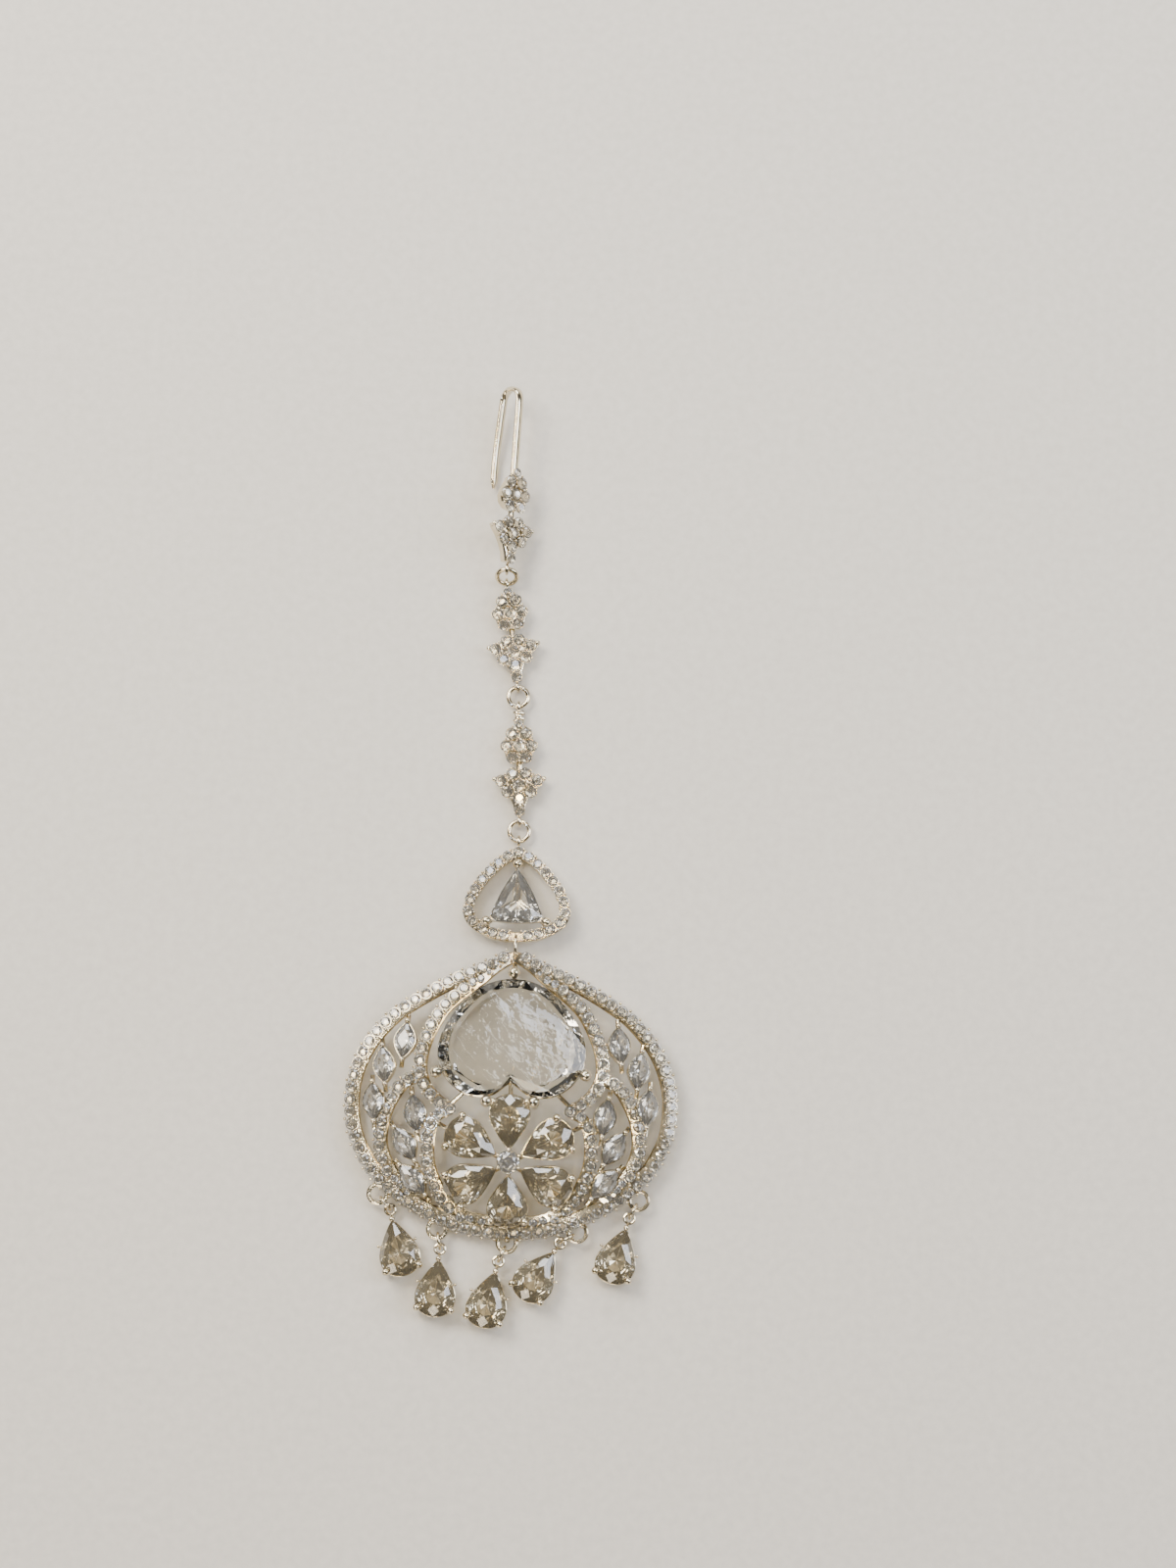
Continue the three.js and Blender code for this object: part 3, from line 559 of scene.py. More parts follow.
# Where two bands meet, smaller stones fill what room is left, the widest gap first
fill = {"step": 0.25, "aside": 0.35, "largest": 0.73, "largestAside": 0.5, "smallest": 0.28, "hole": 0.6}
shifts = [(0, 0)] + [(fill["aside"] * x, fill["aside"] * y) for x, y in ((1, 0), (-1, 0), (0, 1), (0, -1))]
gaps = []
for line, closed in bands:
    for point in smoothRun(line, closed, fill["step"]):
        for shift in shifts:
            spot = point + Vector((*shift, 0))
            largest = fill["largestAside"] if any(shift) else fill["largest"]
            room = min((spot - other).length for other in stoneSpots) - pendant["stone"] / 2
            room = min(room, (spot - taken[0]).length - fill["hole"], largest)
            if room > fill["smallest"]:
                gaps.append((room, spot))
fillers = []
while gaps:
    size, spot = max(gaps, key=lambda gap: gap[0])
    fillers.append((spot, size))
    left = [(min(room, (point - spot).length - size), point) for room, point in gaps]
    gaps = [(room, point) for room, point in left if room > fill["smallest"]]
print("bands", len(stoneSpots), "stones", len(fillers), "small stones", len(beadSpots), "beads")


# Each round stone sits in a flared cup
def stoneCup(name, radius, depth):
    nothingSelected()
    bpy.ops.mesh.primitive_cone_add(
        vertices=14, radius1=radius * 0.7, radius2=radius * 1.04, depth=depth, location=(0, 0, -depth / 2)
    )
    cup = bpy.context.object
    cup.name = name
    pickFaces(cup, lambda face: face.normal.z > 0.9)
    bpy.ops.mesh.inset(thickness=radius * 0.07, depth=0)
    bpy.ops.mesh.inset(thickness=radius * 0.3, depth=-depth * 0.45)
    bpy.ops.object.mode_set(mode="OBJECT")
    return settled(cup)


def dropped(*masters):
    for master in masters:
        bpy.data.objects.remove(master)


cup = stoneCup("cup", pendant["stone"] / 2, 0.85)
bead = ball((0, 0, 0), 0.21, 10, 6)
paveStone = brilliant("pave", pendant["stone"] / 2)


def lifted(spots, height):
    made = []
    for spot in spots:
        up = upAt(spot.x, spot.y)
        made.append((ontoDome(spot) + up * height, up))
    return made


# No two stones sit quite level, so that each glints by itself
def rocked(i):
    return Vector((math.sin(i * 12.9898), math.sin(i * 78.233), 0)) * 0.09


cupSeats = [(spot, turnTo(up), 1) for spot, up in lifted(stoneSpots, pendant["bandHeight"] + 0.04)]
for spot, size in fillers:
    up = upAt(spot.x, spot.y)
    share = size / (pendant["stone"] / 2)
    cupSeats.append((ontoDome(spot) + up * (pendant["bandHeight"] - 0.02), turnTo(up), (share, share, 1)))
stoneSeats = [
    (spot, turnTo(up + rocked(i), 0.37 * i), 1)
    for i, (spot, up) in enumerate(lifted(stoneSpots, pendant["bandHeight"] + 0.06))
]
for i, (spot, size) in enumerate(fillers):
    up = upAt(spot.x, spot.y)
    share = size / (pendant["stone"] / 2)
    place = ontoDome(spot) + up * pendant["bandHeight"]
    stoneSeats.append((place, turnTo(up + rocked(i + 5), 0.5 * i), share))
clearBeads = [
    spot for i, spot in enumerate(beadSpots)
    if all((spot - other).length > 0.42 for other in beadSpots[:i])
    and all((spot - stone).length > 0.62 for stone in stoneSpots)
    and all((spot - other).length > size for other, size in fillers)
    and (spot - flat(0, 1)).length > 0.8
]
beadSeats = [(spot, turnTo(up), 1) for spot, up in lifted(clearBeads, pendant["bandHeight"] + 0.08)]
frameParts.append(copies("cups", cup, cupSeats))
frameParts.append(copies("beads", bead, beadSeats))
pendantStones = copies("pendantPave", paveStone, stoneSeats)
finished(pendantStones, ["pendant_frame"], clearStone)
print("pave set")

# Flower, heart and leaf settings of the pendant
heart = {
    "halfWidth": 9.2, "length": 14, "foot": 0.9, "crown": 1.1, "girdle": 0.3, "pavilion": 1.5,
    "culet": 0.8, "prong": 0.76,
}
heartTable = [(0, 11.9), (2.8, 11.9), (7.3, 7.4), (7, 1.9), (4, 0.1), (0, 1.4)]
heartOutline = [
    (0, 1), (0.2, 0.985), (0.49, 0.9), (0.7, 0.76), (0.89, 0.585), (0.985, 0.42), (1, 0.31), (0.955, 0.17),
    (0.8, 0.035), (0.61, -0.7), (0.435, -1), (0.24, -0.6), (0, 0.065),
]
heartProngs = [(0, 1.07), (-1.03, 0.13), (1.03, 0.13), (-0.33, -2), (0.33, -2)]
heartSeat = {"x": 0, "y": (heart["length"] - heart["foot"]) / 2, "height": 2.8}
petal = {
    "centre": -8.9, "length": 6.7, "width": 5.05, "start": 1.6, "height": 2.9, "grip": 0.86,
    "gripWidth": 0.84, "prong": 0.5,
}
leaf = {"length": 4.8, "width": 2.7, "height": 2.35, "prong": 0.36}
flower = {"stone": 2.8, "height": 3.3}


def heartPoint(across, along):
    return Vector((across * heart["halfWidth"], along * (heart["length"] if along > 0 else heart["foot"]), 0))


def wireLine(points, height, radius, closed=False):
    course = [ontoDome(point) + Vector((0, 0, height)) for point in points]
    return wire(course, closed, radius)


def standing(x, y, seat, inward, radius, base=0.5):
    girdle = girdleNear(seat, x, y)
    foot = Vector((x, y, domeBase + domeAt(x, y) + base))
    return prong(foot, Vector((x, y, girdle + radius * 0.45)) + inward * radius * 0.35, radius)


heartCurve = smoothRun(mirroredRun([heartPoint(*share) for share in heartOutline]), True, 0.6)
middle = Vector((0, heartSeat["y"], 0))
for share, height in ((0.93, 0.8), (0.97, 1.9)):
    frameParts.append(wireLine([middle.lerp(point, share) for point in heartCurve], height, 0.32, True))
for across, along in heartProngs:
    spot = heartPoint(across, along)
    inward = (middle - spot).normalized()
    frameParts += standing(spot.x, spot.y, heartSeat, inward, heart["prong"])
    frameParts.append(wireLine([middle.lerp(spot, share) for share in (0.93, 0.97, 1)], 0.8, 0.3))
frameParts.append(wireLine([Vector((0, 14, 0)), Vector((0, 16.2, 0))], 0.8, 0.3))
for side in (-1, 1):
    ends = [Vector((side * heart["halfWidth"] * 0.5, heart["foot"], 0)), flat(side * 0.4, -0.13)]
    frameParts.append(wireLine(ends, 0.8, 0.3))

petalSeats = []
hub = Vector((0, petal["centre"], 0))
for turn, start, length in petals:
    angle = math.radians(turn)
    way = Vector((math.cos(angle), math.sin(angle), 0))
    near, run = petal["start"] * start, petal["length"] * length
    spot = hub + way * (near + run / 2)
    seat = {"x": spot.x, "y": spot.y, "height": petal["height"], "turn": angle - math.pi / 2, "run": run}
    petalSeats.append(seat)
    frameParts.append(wireLine([hub.lerp(hub + way * (near + run + 1.4), i / 4) for i in range(5)], 0.8, 0.3))
    aside = Vector((-way.y, way.x, 0))
    grip = hub + way * (near + run * petal["grip"])
    reach = petal["gripWidth"] * petal["width"] / 2 + 0.2
    for side in (-1, 1):
        point = grip + aside * side * reach
        frameParts += standing(point.x, point.y, seat, -aside * side, petal["prong"])
        frameParts.append(wireLine([grip, point], wireRun["height"], 0.26))

leafSeats = []
for side in (-1, 1):
    for across, along, lean in leaves:
        spot = flat(side * across, along)
        turn = -math.radians(lean * side)
        way = Vector((-math.sin(turn), math.cos(turn), 0))
        seat = {"x": spot.x, "y": spot.y, "height": leaf["height"], "turn": turn}
        leafSeats.append(seat)
        reach = leaf["length"] / 2
        frameParts.append(wireLine([spot + way * (reach + 1) * share for share in (-1, 0, 1)], 0.8, 0.3))
        for end in (-1, 1):
            tip = spot + way * end * (reach + 0.18)
            frameParts += standing(tip.x, tip.y, seat, -way * end, leaf["prong"])
print("settings")


def pearOutline(length, width):
    shares = [(0, 0), (0.3, 0.12), (0.62, 0.3), (0.88, 0.47), (1, 0.64), (0.9, 0.82), (0.55, 0.95), (0, 1)]
    half = [Vector((across * width / 2, (along - 0.58) * length, 0)) for across, along in shares]
    return [point.xy for point in smoothRun(mirroredRun(half), True, 0.3)]


def leafOutline():
    half = [
        Vector((math.sin(math.pi * i / 12) * leaf["width"] / 2, (0.5 - i / 12) * leaf["length"], 0))
        for i in range(13)
    ]
    return [point.xy for point in half] + [Vector((-p.x, p.y)) for p in half[1:-1]][::-1]


# A collet wall that follows the stone under its girdle
def collet(outline, seat, shift, top, grow=0.97):
    course = [Vector((point.x * grow, point.y * grow + shift, 0)) for point in outline]
    wall = rail(course, True, boxSection(0.3, -0.95, top, 0.06))
    wall.data.transform(seatMatrix(seat["x"], seat["y"], seat["height"], seat["turn"]))
    return wall


def stonePiece(name, outline, cut, seat, shift, material):
    stone = gem(name, outline, cut)
    stone.location = (0, shift, 0)
    settled(stone)
    place = seatMatrix(seat["x"], seat["y"], seat["height"], seat["turn"])
    return finished(stone, [name], material, place)


petalCut = {"table": 0.5, "crown": 0.95, "pavilion": 1.65, "sides": 10}
for i, seat in enumerate(petalSeats):
    outline = pearOutline(seat["run"], petal["width"])
    shift = seat["run"] * 0.08
    frameParts.append(collet(outline, seat, shift, -0.1))
    stonePiece(f"petal_stone_{i + 1}", outline, petalCut, seat, shift, warmStone)
leafCut = {"table": 0.5, "crown": 0.6, "pavilion": 0.95, "sides": 8}
for i, seat in enumerate(leafSeats):
    frameParts.append(collet(leafOutline(), seat, 0, -0.05))
    stonePiece(f"leaf_stone_{i + 1}", leafOutline(), leafCut, seat, 0, clearStone)

centreStone = brilliant("flower_centre_stone", flower["stone"] / 2)
centrePlace = seatMatrix(0, petal["centre"], flower["height"], 0.2)
finished(centreStone, ["flower_centre_stone"], clearStone, centrePlace)
centreCup = stoneCup("centreCup", flower["stone"] / 2, 2.2)
centreCup.data.transform(centrePlace @ Matrix.Translation((0, 0, -0.05)))
frameParts.append(centreCup)
for i in range(6):
    angle = math.radians(60 * i + 30)
    spot = hub + Vector((math.cos(angle), math.sin(angle), 0)) * flower["stone"] * 0.53
    top = domeBase + domeAt(spot.x, spot.y) + flower["height"] + 0.1
    frameParts += prong(Vector((spot.x, spot.y, top - 1.6)), Vector((spot.x, spot.y, top)), 0.27)


# The heart is cut in two convex halves that meet on its middle line
def heartHalf(side):
    half = [heartPoint(*share) for share in heartOutline]
    edge = smoothRun(half, False, 1.5)
    layers = [(1, 0), (1, -heart["girdle"]), (heart["culet"], -heart["pavilion"])]
    corners = [(side * x, y - heartSeat["y"], heart["crown"]) for x, y in heartTable]
    for share, height in layers:
        for point in edge:
            spot = middle.lerp(point, share) - middle
            corners.append((side * spot.x, spot.y, height))
    piece = meshPiece("heartHalf", corners, [])
    bpy.ops.object.mode_set(mode="EDIT")
    bpy.ops.mesh.select_all(action="SELECT")
    bpy.ops.mesh.convex_hull(join_triangles=True, face_threshold=0.03, shape_threshold=0.03)
    bpy.ops.object.mode_set(mode="OBJECT")
    pickFaces(piece, lambda face: abs(face.center.x) < 1e-3 and abs(face.normal.x) > 0.9)
    bpy.ops.mesh.delete(type="ONLY_FACE")
    bpy.ops.object.mode_set(mode="OBJECT")
    return piece


heartStone = joinedAs("heart_stone", [heartHalf(1), heartHalf(-1)])
onlySelected(heartStone)
bpy.ops.object.mode_set(mode="EDIT")
bpy.ops.mesh.select_all(action="SELECT")
bpy.ops.mesh.remove_doubles(threshold=0.001)
bpy.ops.mesh.normals_make_consistent(inside=False)
bpy.ops.object.mode_set(mode="OBJECT")
heartPlace = seatMatrix(0, heartSeat["y"], heartSeat["height"], 0)
finished(heartStone, ["heart_stone"], heartGlass, heartPlace)
print("main stones")

for across, along, _, _ in drops:
    spot = flat(across, along) + Vector((0, 0, rim["height"]))
    frameParts.append(torusAt(spot, (0, 0, 0), rim["radius"], rim["wire"]))
pendantMetal = joinedAs("pendantMetal", frameParts)
finished(pendantMetal, ["pendant_frame"], metal, smooth=35)
print("pendant")

# Triangle, turned about its far loop
loop = {"radius": 0.62, "wire": 0.2, "height": 0.85}
triangleLoop = triangle["foot"] + triangle["height"] + triangle["band"] / 2 + loop["radius"]
lean = -math.atan(triangle["rise"] / (triangleLoop - triangle["foot"]))
trianglePlace = (
    Matrix.Translation((0, triangleLoop, loop["height"])) @ Matrix.Rotation(lean, 4, "X")
    @ Matrix.Translation((0, -triangleLoop, -loop["height"]))
)
triangleOutline = [
    (0, 1), (0.26, 0.93), (0.435, 0.845), (0.61, 0.74), (0.785, 0.62), (0.905, 0.505), (0.99, 0.37),
    (1, 0.265), (0.92, 0.18), (0.74, 0.1), (0.46, 0.03), (0, 0),
]
triangleLine = mirroredRun([
    Vector((across * triangle["halfWidth"], triangle["foot"] + along * triangle["height"], 0))
    for across, along in triangleOutline
])
triangleParts = [rail(smoothRun(triangleLine, True, 0.5), True, boxSection(1.3, 0, 1.15, 0.18))]
hole = Vector((0, triangle["foot"], 0))
run = smoothRun(triangleLine, True, pendant["pitch"])
spots, beadSpots = rowSeats(run, True, [hole], pendant["pitch"], 0.6)
beadSpots = [spot for spot in beadSpots if (spot - hole).length > 0.8]
top = Vector((0, 0, pendant["bandHeight"]))
up = Vector((0, 0, 1))
triangleParts.append(copies("cups", cup, [(spot + top, (0, 0, 0), 0.95) for spot in spots]))
triangleParts.append(copies("beads", bead, [(spot + top, (0, 0, 0), 0.9) for spot in beadSpots]))
seats = [(spot + top, turnTo(up + rocked(i), 0.37 * i), 0.95) for i, spot in enumerate(spots)]
triangleStones = copies("trianglePave", paveStone, seats)
finished(triangleStones, ["triangle_frame"], clearStone, trianglePlace)
corners = [
    Vector((0, triangle["stoneFoot"] + triangle["stoneHeight"], 0)),
    Vector((-triangle["stoneHalfWidth"], triangle["stoneFoot"], 0)),
    Vector((triangle["stoneHalfWidth"], triangle["stoneFoot"], 0)),
]
centre = Vector((0, triangle["stoneFoot"] + triangle["stoneHeight"] * 0.36, 0))
for corner in corners:
    out = (corner - centre).normalized()
    spot = corner + out * 0.35
    foot = spot + Vector((0, 0, 0.5))
    tip = spot + Vector((0, 0, triangle["seat"] + 0.15)) - out * 0.15
    triangleParts += prong(foot, tip, triangle["prong"])
    bar = [centre + Vector((0, 0, 0.8)), spot + out * 1.3 + Vector((0, 0, 0.8))]
    triangleParts.append(wire(bar, False, 0.3))
upright = (0, math.pi / 2, 0)
triangleParts.append(torusAt((0, triangleLoop, loop["height"]), upright, loop["radius"], loop["wire"], 24, 8))


def triangleStoneOutline():
    outline = []
    for i, corner in enumerate(corners):
        after = corners[(i + 1) % 3]
        for share in (0.05, 0.2, 0.35, 0.5, 0.65, 0.8, 0.95):
            spot = corner.lerp(after, share)
            outline.append(spot + (spot - centre).normalized() * 0.25 * math.sin(math.pi * share) - centre)
    return [point.xy for point in outline]


wallLine = [Vector((*point, 0)) * 0.93 for point in triangleStoneOutline()]
seatWall = rail(wallLine, True, boxSection(0.3, -1, -0.15, 0.05))
seatWall.data.transform(Matrix.Translation(centre + Vector((0, 0, triangle["seat"]))))
triangleParts.append(seatWall)
triangleCut = {"table": 0.5, "crown": 0.8, "pavilion": 1.05, "sides": 12}
triangleStone = gem("triangle_stone", triangleStoneOutline(), triangleCut)
stonePlace = trianglePlace @ Matrix.Translation(centre + Vector((0, 0, triangle["seat"])))
finished(triangleStone, ["triangle_stone"], clearStone, stonePlace)
triangleMetal = joinedAs("triangleMetal", triangleParts)
finished(triangleMetal, ["triangle_frame"], metal, trianglePlace, 35)

shortRing = {"radius": 1.45, "wire": 0.22, "above": 0.96}
ringSpot = (0, ringMiddle, triangle["rise"] + shortRing["above"])
ring = torusAt(ringSpot, upright, shortRing["radius"], shortRing["wire"])
ring.name = "pendantRing"
finished(ring, ["pendant_ring"], metal, smooth=60)
print("triangle")

# Links: a kite and a pear of small set stones on one plate
link = {
    "height": 1.5, "kite": 6.4, "kiteHalf": 3.3, "pear": 5.8, "pearHalf": 2.3, "neck": 0.4, "stone": 1.55,
    "bead": 0.45, "wrapRadius": 0.7, "wrapWire": 0.2,
}
kiteShares = [
    (0.22, 0), (0.28, 0.2), (0.46, 0.42), (0.72, 0.62), (1, 0.77), (0.7, 0.88), (0.35, 0.97), (0, 1),
]
pearShares = [(0, 0), (0.3, 0.12), (0.62, 0.3), (0.88, 0.47), (1, 0.64), (0.9, 0.82), (0.55, 0.95), (0, 1)]
# Stones of a link, those beside the middle line on both sides: across, along, size
kiteStones = [
    (0, 0.145, 0.9), (0, 0.39, 1), (0.45, 0.52, 1), (0, 0.655, 1), (0.7, 0.745, 0.98), (0.25, 0.885, 1),
]
pearStones = [(0.37, 0.84, 1), (0, 0.57, 1), (0.69, 0.575, 1), (0.4, 0.3, 1), (0, 0.08, 0.72)]
linkTop = link["kite"] + link["neck"] + link["pear"]
kiteLoop = -loop["radius"] * 0.6


def plate(name, outline, bottom, thick):
    corners = [(point.x, point.y, bottom) for point in outline]
    piece = meshPiece(name, corners, [list(range(len(outline)))])
    bpy.ops.object.mode_set(mode="EDIT")
    bpy.ops.mesh.select_all(action="SELECT")
    bpy.ops.mesh.extrude_region_move(TRANSFORM_OT_translate={"value": (0, 0, thick)})
    bpy.ops.mesh.select_all(action="SELECT")
    bpy.ops.mesh.normals_make_consistent(inside=False)
    bpy.ops.object.mode_set(mode="OBJECT")
    return applied(piece, "BEVEL", width=0.12, segments=2, limit_method="ANGLE")


def linkOutlines():
    kite = [Vector((across * link["kiteHalf"], along * link["kite"], 0)) for across, along in kiteShares]
    pearFrom = link["kite"] + link["neck"]
    pear = [
        Vector((across * link["pearHalf"], pearFrom + (1 - along) * link["pear"], 0))
        for across, along in pearShares
    ]
    return mirroredRun(kite), mirroredRun(pear)


def linkSpots():
    pearFrom = link["kite"] + link["neck"]
    half = [(across * link["kiteHalf"], along * link["kite"], size) for across, along, size in kiteStones]
    half += [
        (across * link["pearHalf"], pearFrom + (1 - along) * link["pear"], size)
        for across, along, size in pearStones
    ]
    return [
        (Vector((side * across, along, link["height"])), size)
        for across, along, size in half for side in ((-1, 1) if across else (1,))
    ]


# A bead on each side of every place where two stones nearly touch
def beadsBetween(spots):
    beads = []
    for i, (spot, size) in enumerate(spots):
        for other, otherSize in spots[:i]:
            gap = other - spot
            if gap.length > link["stone"] * (size + otherSize) * 0.62:
                continue
            aside = Vector((-gap.y, gap.x, 0)).normalized() * link["bead"]
            beads += [(spot + other) / 2 + aside, (spot + other) / 2 - aside]
    kept = []
    for point in beads:
        clear = all((point - spot).length > link["stone"] * size * 0.5 for spot, size in spots)
        if clear and all((point - other).length > 0.34 for other in kept):
            kept.append(point)
    return kept


smallCup = stoneCup("smallCup", link["stone"] / 2, 0.8)
smallStone = brilliant("smallPave", link["stone"] / 2)


def linkBody():
    spots = linkSpots()
    parts = []
    for outline in linkOutlines():
        shrunk = sum(outline, Vector()) / len(outline)
        parts.append(plate("plate", [shrunk.lerp(point, 0.86) for point in outline], 0, 1.25))
    parts.append(copies("cups", smallCup, [(spot, (0, 0, 0), (size, size, 1)) for spot, size in spots]))
    parts.append(copies("beads", bead, [(spot, (0, 0, 0), 0.85) for spot in beadsBetween(spots)]))
    for side in (-1, 1):
        corner = Vector((side * link["kiteHalf"] * 0.95, link["kite"] * 0.78, link["height"] - 0.1))
        parts += prong(corner * 0.9 + Vector((0, 0.5, -1)), corner, 0.34)
    neck = [Vector((0, link["kite"] - 0.9, 0.75)), Vector((0, link["kite"] + link["neck"] + 0.9, 0.75))]
    parts.append(wire(neck, False, 0.4))
    seats = [(spot, turnTo(up + rocked(i), 0.4 * i), size) for i, (spot, size) in enumerate(spots)]
    stones = copies("linkPave", smallStone, seats)
    return parts, stones


def uprightLoop(y, z, roll=0):
    return torusAt((0, y, z), (0, math.pi / 2 + roll, 0), loop["radius"], loop["wire"], 24, 8)


def chainLink(node, shank, place):
    parts, stones = linkBody()
    loopAt = linkTop + shank + loop["radius"]
    parts += [uprightLoop(kiteLoop, loop["height"]), uprightLoop(loopAt, loop["height"])]
    shaft = [Vector((0, linkTop - 0.9, loop["height"])), Vector((0, linkTop + shank + 0.2, loop["height"]))]
    parts.append(wire(shaft, False, 0.22))
    if shank:
        turns = 4
        coil = []
        for i in range(turns * 12 + 1):
            angle = math.tau * i / 12
            reach = link["wrapRadius"] * (0.75 + 0.25 * math.sin(i / 5))
            along = linkTop - 0.1 + (shank + 0.15) * i / (turns * 12)
            rise = math.sin(angle) * reach * 0.85
            coil.append(Vector((math.cos(angle) * reach, along, loop["height"] + rise)))
        parts.append(wire(coil, False, link["wrapWire"] / 2 + 0.03, 1))
    finished(stones, [node], clearStone, place)
    piece = joinedAs(node + "Metal", parts)
    finished(piece, [node], metal, place, 35)


hook = {
    "width": 1.1, "wire": 0.6, "length": 10.8, "gap": 3.9, "bend": 1.6, "back": 12.9, "roll": 42,
    "pitch": 3.4, "height": 2.98,
}


def hookLink(place):
    parts, stones = linkBody()
    level = link["height"] / 2
    legEnd = linkTop + hook["length"] - hook["bend"]
    course = [Vector((0, linkTop - 0.9, level)), Vector((0, linkTop + 1, level)), Vector((0, legEnd, level))]
    for i in range(1, 13):
        turn = math.pi * i / 12
        fall = hook["bend"] * (1 - math.cos(turn))
        course.append(Vector((0, legEnd + math.sin(turn) * hook["bend"], level - fall)))
    tip = linkTop + hook["length"] - hook["back"]
    course += [Vector((0, tip + 4, level - hook["gap"])), Vector((0, tip, level - hook["gap"]))]
    steps = smoothRun(course, False, 0.35)
    corners, faces = [], []
    section = [
        (0.5, 0.15), (0.42, 0.36), (0.22, 0.5), (-0.22, 0.5), (-0.42, 0.36), (-0.5, 0.15),
        (-0.5, -0.15), (-0.42, -0.36), (-0.22, -0.5), (0.22, -0.5), (0.42, -0.36), (0.5, -0.15),
    ]
    count = len(section)
    for i, spot in enumerate(steps):
        way = (steps[min(i + 1, len(steps) - 1)] - steps[max(i - 1, 0)]).normalized()
        out = Vector((0, -way.z, way.y))
        thin = min(1, 0.35 + (len(steps) - 1 - i) * 0.25)
        for wide, thick in section:
            aside = Vector((wide * hook["width"] * thin, 0, 0))
            corners.append(spot + aside + out * thick * hook["wire"] * thin)
        if i:
            start = (i - 1) * count
            faces += [
                (start + k, start + (k + 1) % count, start + count + (k + 1) % count, start + count + k)
                for k in range(count)
            ]
    faces += [tuple(range(count)), tuple(range(len(corners) - count, len(corners)))]
    piece = meshPiece("hook", corners, faces)
    bpy.ops.object.mode_set(mode="EDIT")
    bpy.ops.mesh.select_all(action="SELECT")
    bpy.ops.mesh.normals_make_consistent(inside=False)
    bpy.ops.object.mode_set(mode="OBJECT")
    parts += [piece, uprightLoop(kiteLoop, level, -math.radians(hook["roll"]))]
    finished(stones, ["hook_link"], clearStone, place)
    finished(joinedAs("hookLinkMetal", parts), ["hook_link"], metal, place, 35)


chainRing = {"radius": 1.27, "wire": 0.3, "reach": 2.6}


def ringBetween(node, start, end):
    run = end - start
    across = Vector((run.y, -run.x, 0)).normalized()
    along = run.normalized()
    basis = Matrix((across, along, across.cross(along))).transposed().to_4x4()
    piece = torusAt((0, 0, 0), (0, 0, 0), chainRing["radius"], chainRing["wire"])
    finished(piece, [node], metal, Matrix.Translation((start + end) / 2) @ basis, 60)
    piece.name = node + "Wire"


spot = Vector((0, triangleLoop, loop["height"]))
for i, (ringLean, linkLean) in enumerate([(0, 2), (5, 7.5), (0, -2.5)]):
    rise = hook["height"] - loop["height"] if i == 2 else 0
    span = math.sqrt(chainRing["reach"] ** 2 - rise ** 2)
    angle = math.radians(ringLean)
    after = spot + Vector((-math.sin(angle) * span, math.cos(angle) * span, rise))
    ringBetween(f"ring_{3 - i}", spot, after)
    turn = math.radians(linkLean)
    way = Vector((-math.sin(turn), math.cos(turn), 0))
    spin = Matrix.Rotation(turn, 4, "Z")
    if i == 2:
        tilt = Matrix.Rotation(math.radians(hook["pitch"]), 4, "X")
        tilt = tilt @ Matrix.Rotation(math.radians(hook["roll"]), 4, "Y")
        fromLoop = Matrix.Translation((0, -kiteLoop, -link["height"] / 2))
        hookLink(Matrix.Translation(after) @ spin @ tilt @ fromLoop)
        break
    shank = 1.2 if i == 0 else 0
    base = Vector((after.x, after.y, 0)) - way * kiteLoop
    chainLink(f"link_{3 - i}", shank, Matrix.Translation(base) @ spin)
    spot = after + way * (linkTop + shank + loop["radius"] - kiteLoop)
print("links")

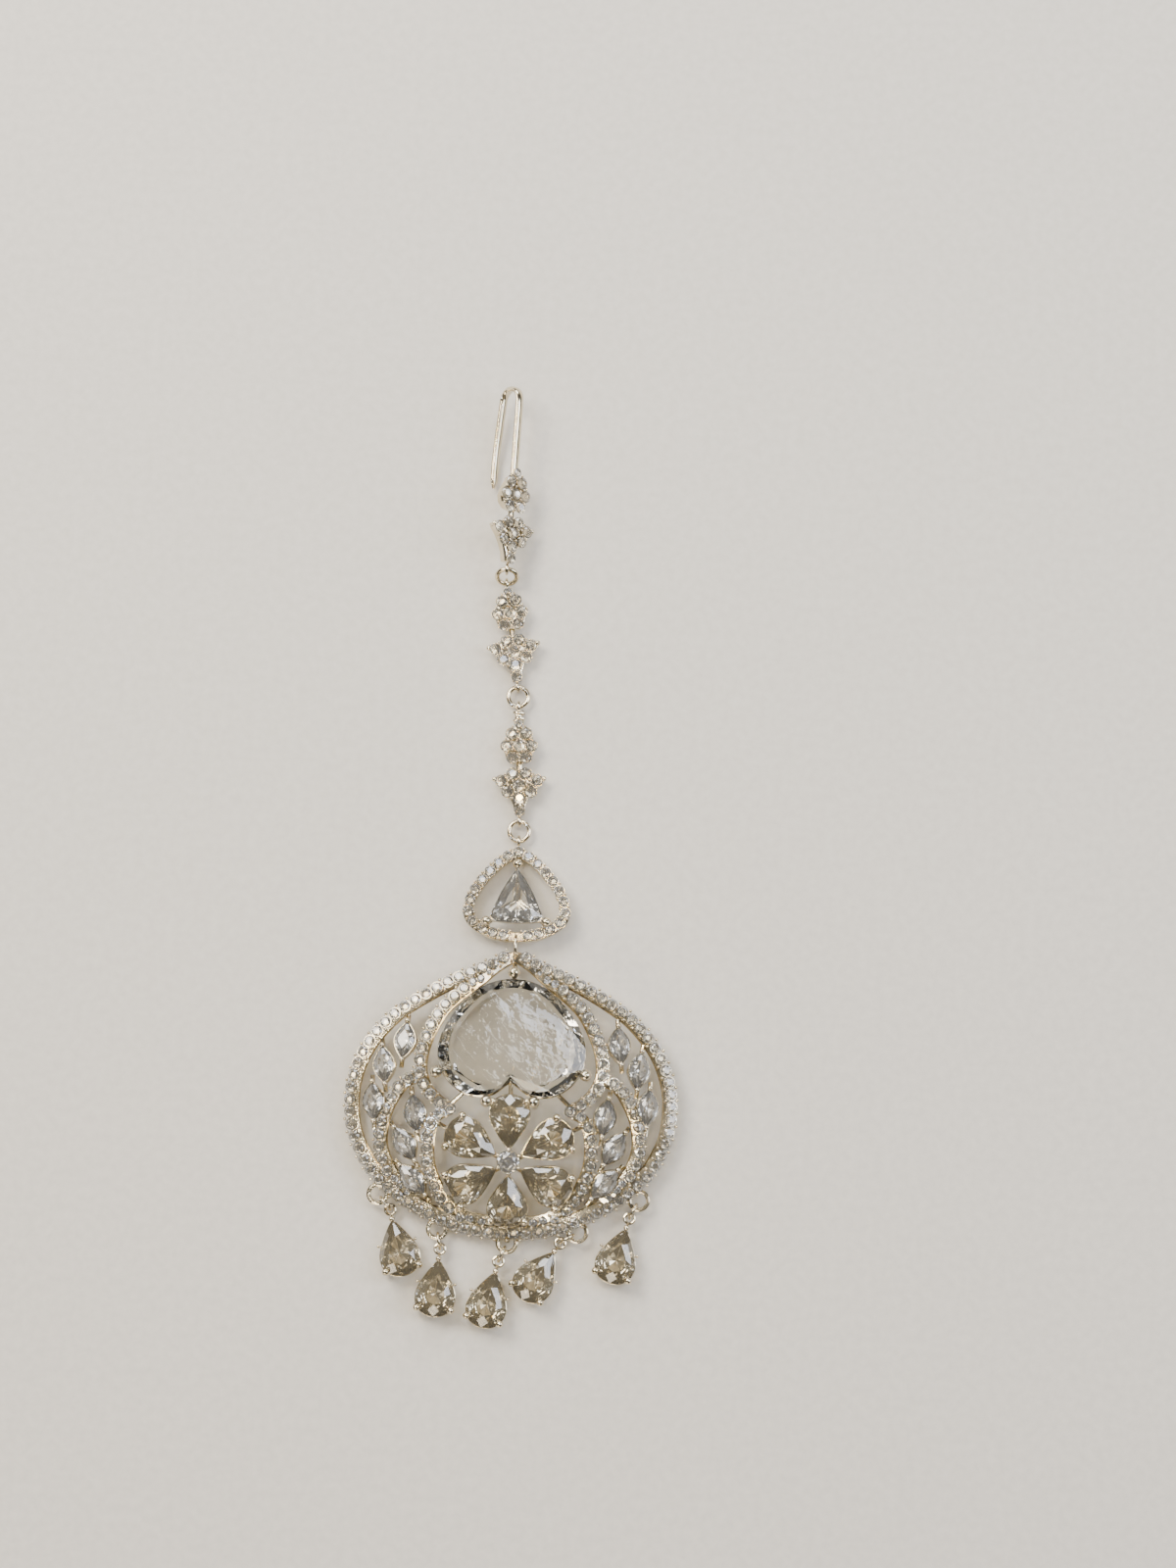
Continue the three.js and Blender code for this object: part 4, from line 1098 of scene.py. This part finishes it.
# Drops: ring, loop, open basket of two seat wires, a tip prong and two ball prongs
drop = {"length": 7, "width": 5, "height": 2, "from": 1.4, "ring": 1, "ringWire": 0.2}
dropCut = {"table": 0.5, "crown": 1, "pavilion": 1.6, "sides": 10}
for i, (across, along, ringLean, dropLean) in enumerate(drops):
    angle = math.radians(ringLean)
    way = Vector((math.sin(angle), -math.cos(angle), 0))
    eyelet = flat(across, along) + Vector((0, 0, rim["height"]))
    ringAt = rim["radius"] - rim["wire"] - drop["ringWire"] - pendant["clearance"] + drop["ring"]
    ring = torusAt((0, 0, 0), upright, drop["ring"], drop["ringWire"], 32, 8)
    ring.name = f"dropRing{i + 1}"
    place = Matrix.Translation(eyelet + way * ringAt) @ Matrix.Rotation(angle, 4, "Z")
    finished(ring, [f"drop_ring_{i + 1}"], metal, place, 60)
    spot = eyelet + way * (ringAt + drop["ring"])
    place = Matrix.Translation((spot.x, spot.y, 0)) @ Matrix.Rotation(math.radians(dropLean + 180), 4, "Z")
    outline = pearOutline(drop["length"], drop["width"])
    shift = Vector((0, drop["from"] + drop["length"] * 0.58, 0))
    parts = [torusAt((0, 0, rim["height"]), (0, 0, 0), loop["radius"], loop["wire"], 24, 8)]
    for share, level in ((0.86, 0.7), (0.94, 1.4)):
        seat = [Vector((point.x * share, point.y * share, level)) + shift for point in outline]
        parts.append(wire(seat, True, 0.22))
    parts += prong(Vector((0, 0.95, 0.7)), Vector((0, 1.25, 2.25)), 0.38)
    for side in (-1, 1):
        parts += prong(Vector((side * 2.2, 7.5, 0.6)), Vector((side * 2.12, 7.45, 2.4)), 0.46)
        parts += prong(Vector((side * 2.1, 4.2, 0.7)), Vector((side * 2.35, 4.2, 1.9)), 0.2)
    basket = joinedAs(f"dropBasket{i + 1}", parts)
    finished(basket, [f"drop_setting_{i + 1}"], metal, place, 35)
    stone = gem(f"dropStone{i + 1}", outline, dropCut)
    lift = Matrix.Translation(shift + Vector((0, 0, drop["height"])))
    finished(stone, [f"drop_stone_{i + 1}"], warmStone, place @ lift)
dropped(cup, bead, paveStone, smallCup, smallStone)
print("drops")

# Floor, light and camera
bpy.ops.mesh.primitive_plane_add(size=3, location=(0, 0, -0.00005))
floor = bpy.context.object
floor.name = "floor"
paper, tree, shader = newMaterial("matPaper")
spot = addNode(tree, "TexCoord", {}).outputs["Object"]
grain = addNode(tree, "TexNoise", {"Vector": spot, "Scale": 900, "Detail": 3})
shade = ramp(tree, grain.outputs["Fac"], (0.3, "#d9d6cf"), (0.7, "#e2dfd8"))
tree.links.new(shade, shader.inputs["Base Color"])
shader.inputs["Roughness"].default_value = 0.9
floor.data.materials.append(paper)

view = {"elevation": 80, "distance": 0.45, "turn": 1.5, "lens": 81}
target = toFrame @ Vector((8.57, 39.82, 0))
rise = math.radians(view["elevation"])
away = Vector((0, -math.cos(rise), math.sin(rise)))
aim = Matrix.Rotation(math.radians(view["turn"]), 3, "Z")
bpy.ops.object.camera_add(location=target + aim @ away * view["distance"])
camera = bpy.context.object
camera.rotation_euler = (math.radians(90 - view["elevation"]), 0, math.radians(view["turn"]))
camera.data.lens = view["lens"]
camera.data.sensor_width = 36
camera.data.clip_start = 0.01
bpy.context.scene.camera = camera


def softBox(name, spot, size, watts, colour, spin=None):
    bpy.ops.object.light_add(type="AREA", location=spot)
    lamp = bpy.context.object
    lamp.name = name
    lamp.data.shape = "RECTANGLE"
    lamp.data.size, lamp.data.size_y = size
    lamp.data.energy = watts
    lamp.data.color = linear(colour)[:3]
    if spin is None:
        lamp.rotation_euler = (-lamp.location).to_track_quat("-Z", "Y").to_euler()
    else:
        lamp.rotation_euler = (0, 0, math.radians(spin))


softBox("key", (-0.3, 0.28, 0.42), (0.3, 0.3), 4.2, "#fff6e8")
softBox("fill", (0.42, 0.05, 0.3), (0.25, 0.35), 1.7, "#f1f5ff")
softBox("back", (0.02, 0.45, 0.25), (0.4, 0.12), 1.3, "#ffffff")
softBox("low", (-0.12, -0.42, 0.2), (0.3, 0.12), 0.7, "#ffefd4")
softBox("overhead", (0.03, 0.104, 0.35), (0.05, 0.09), 0.11, "#e6eeff", 32)
sparkle = {"distance": 0.5, "size": 0.022, "watts": 0.22}
for i, (turn, rise, tint) in enumerate([
    (20, 66, "#ffffff"), (75, 76, "#ffd27a"), (160, 48, "#ffe9c0"), (205, 66, "#b9d0ff"),
    (290, 72, "#ffe6b0"), (228, 80, "#fff6e4"),
]):
    turn, rise = math.radians(turn), math.radians(rise)
    way = Vector((math.cos(turn) * math.cos(rise), math.sin(turn) * math.cos(rise), math.sin(rise)))
    softBox(f"sparkle{i + 1}", way * sparkle["distance"], (sparkle["size"],) * 2, sparkle["watts"], tint)
world = bpy.data.worlds.new("studio")
bpy.context.scene.world = world
world.use_nodes = True
world.node_tree.nodes["Background"].inputs["Color"].default_value = linear("#e9e6e0")
world.node_tree.nodes["Background"].inputs["Strength"].default_value = 0.13
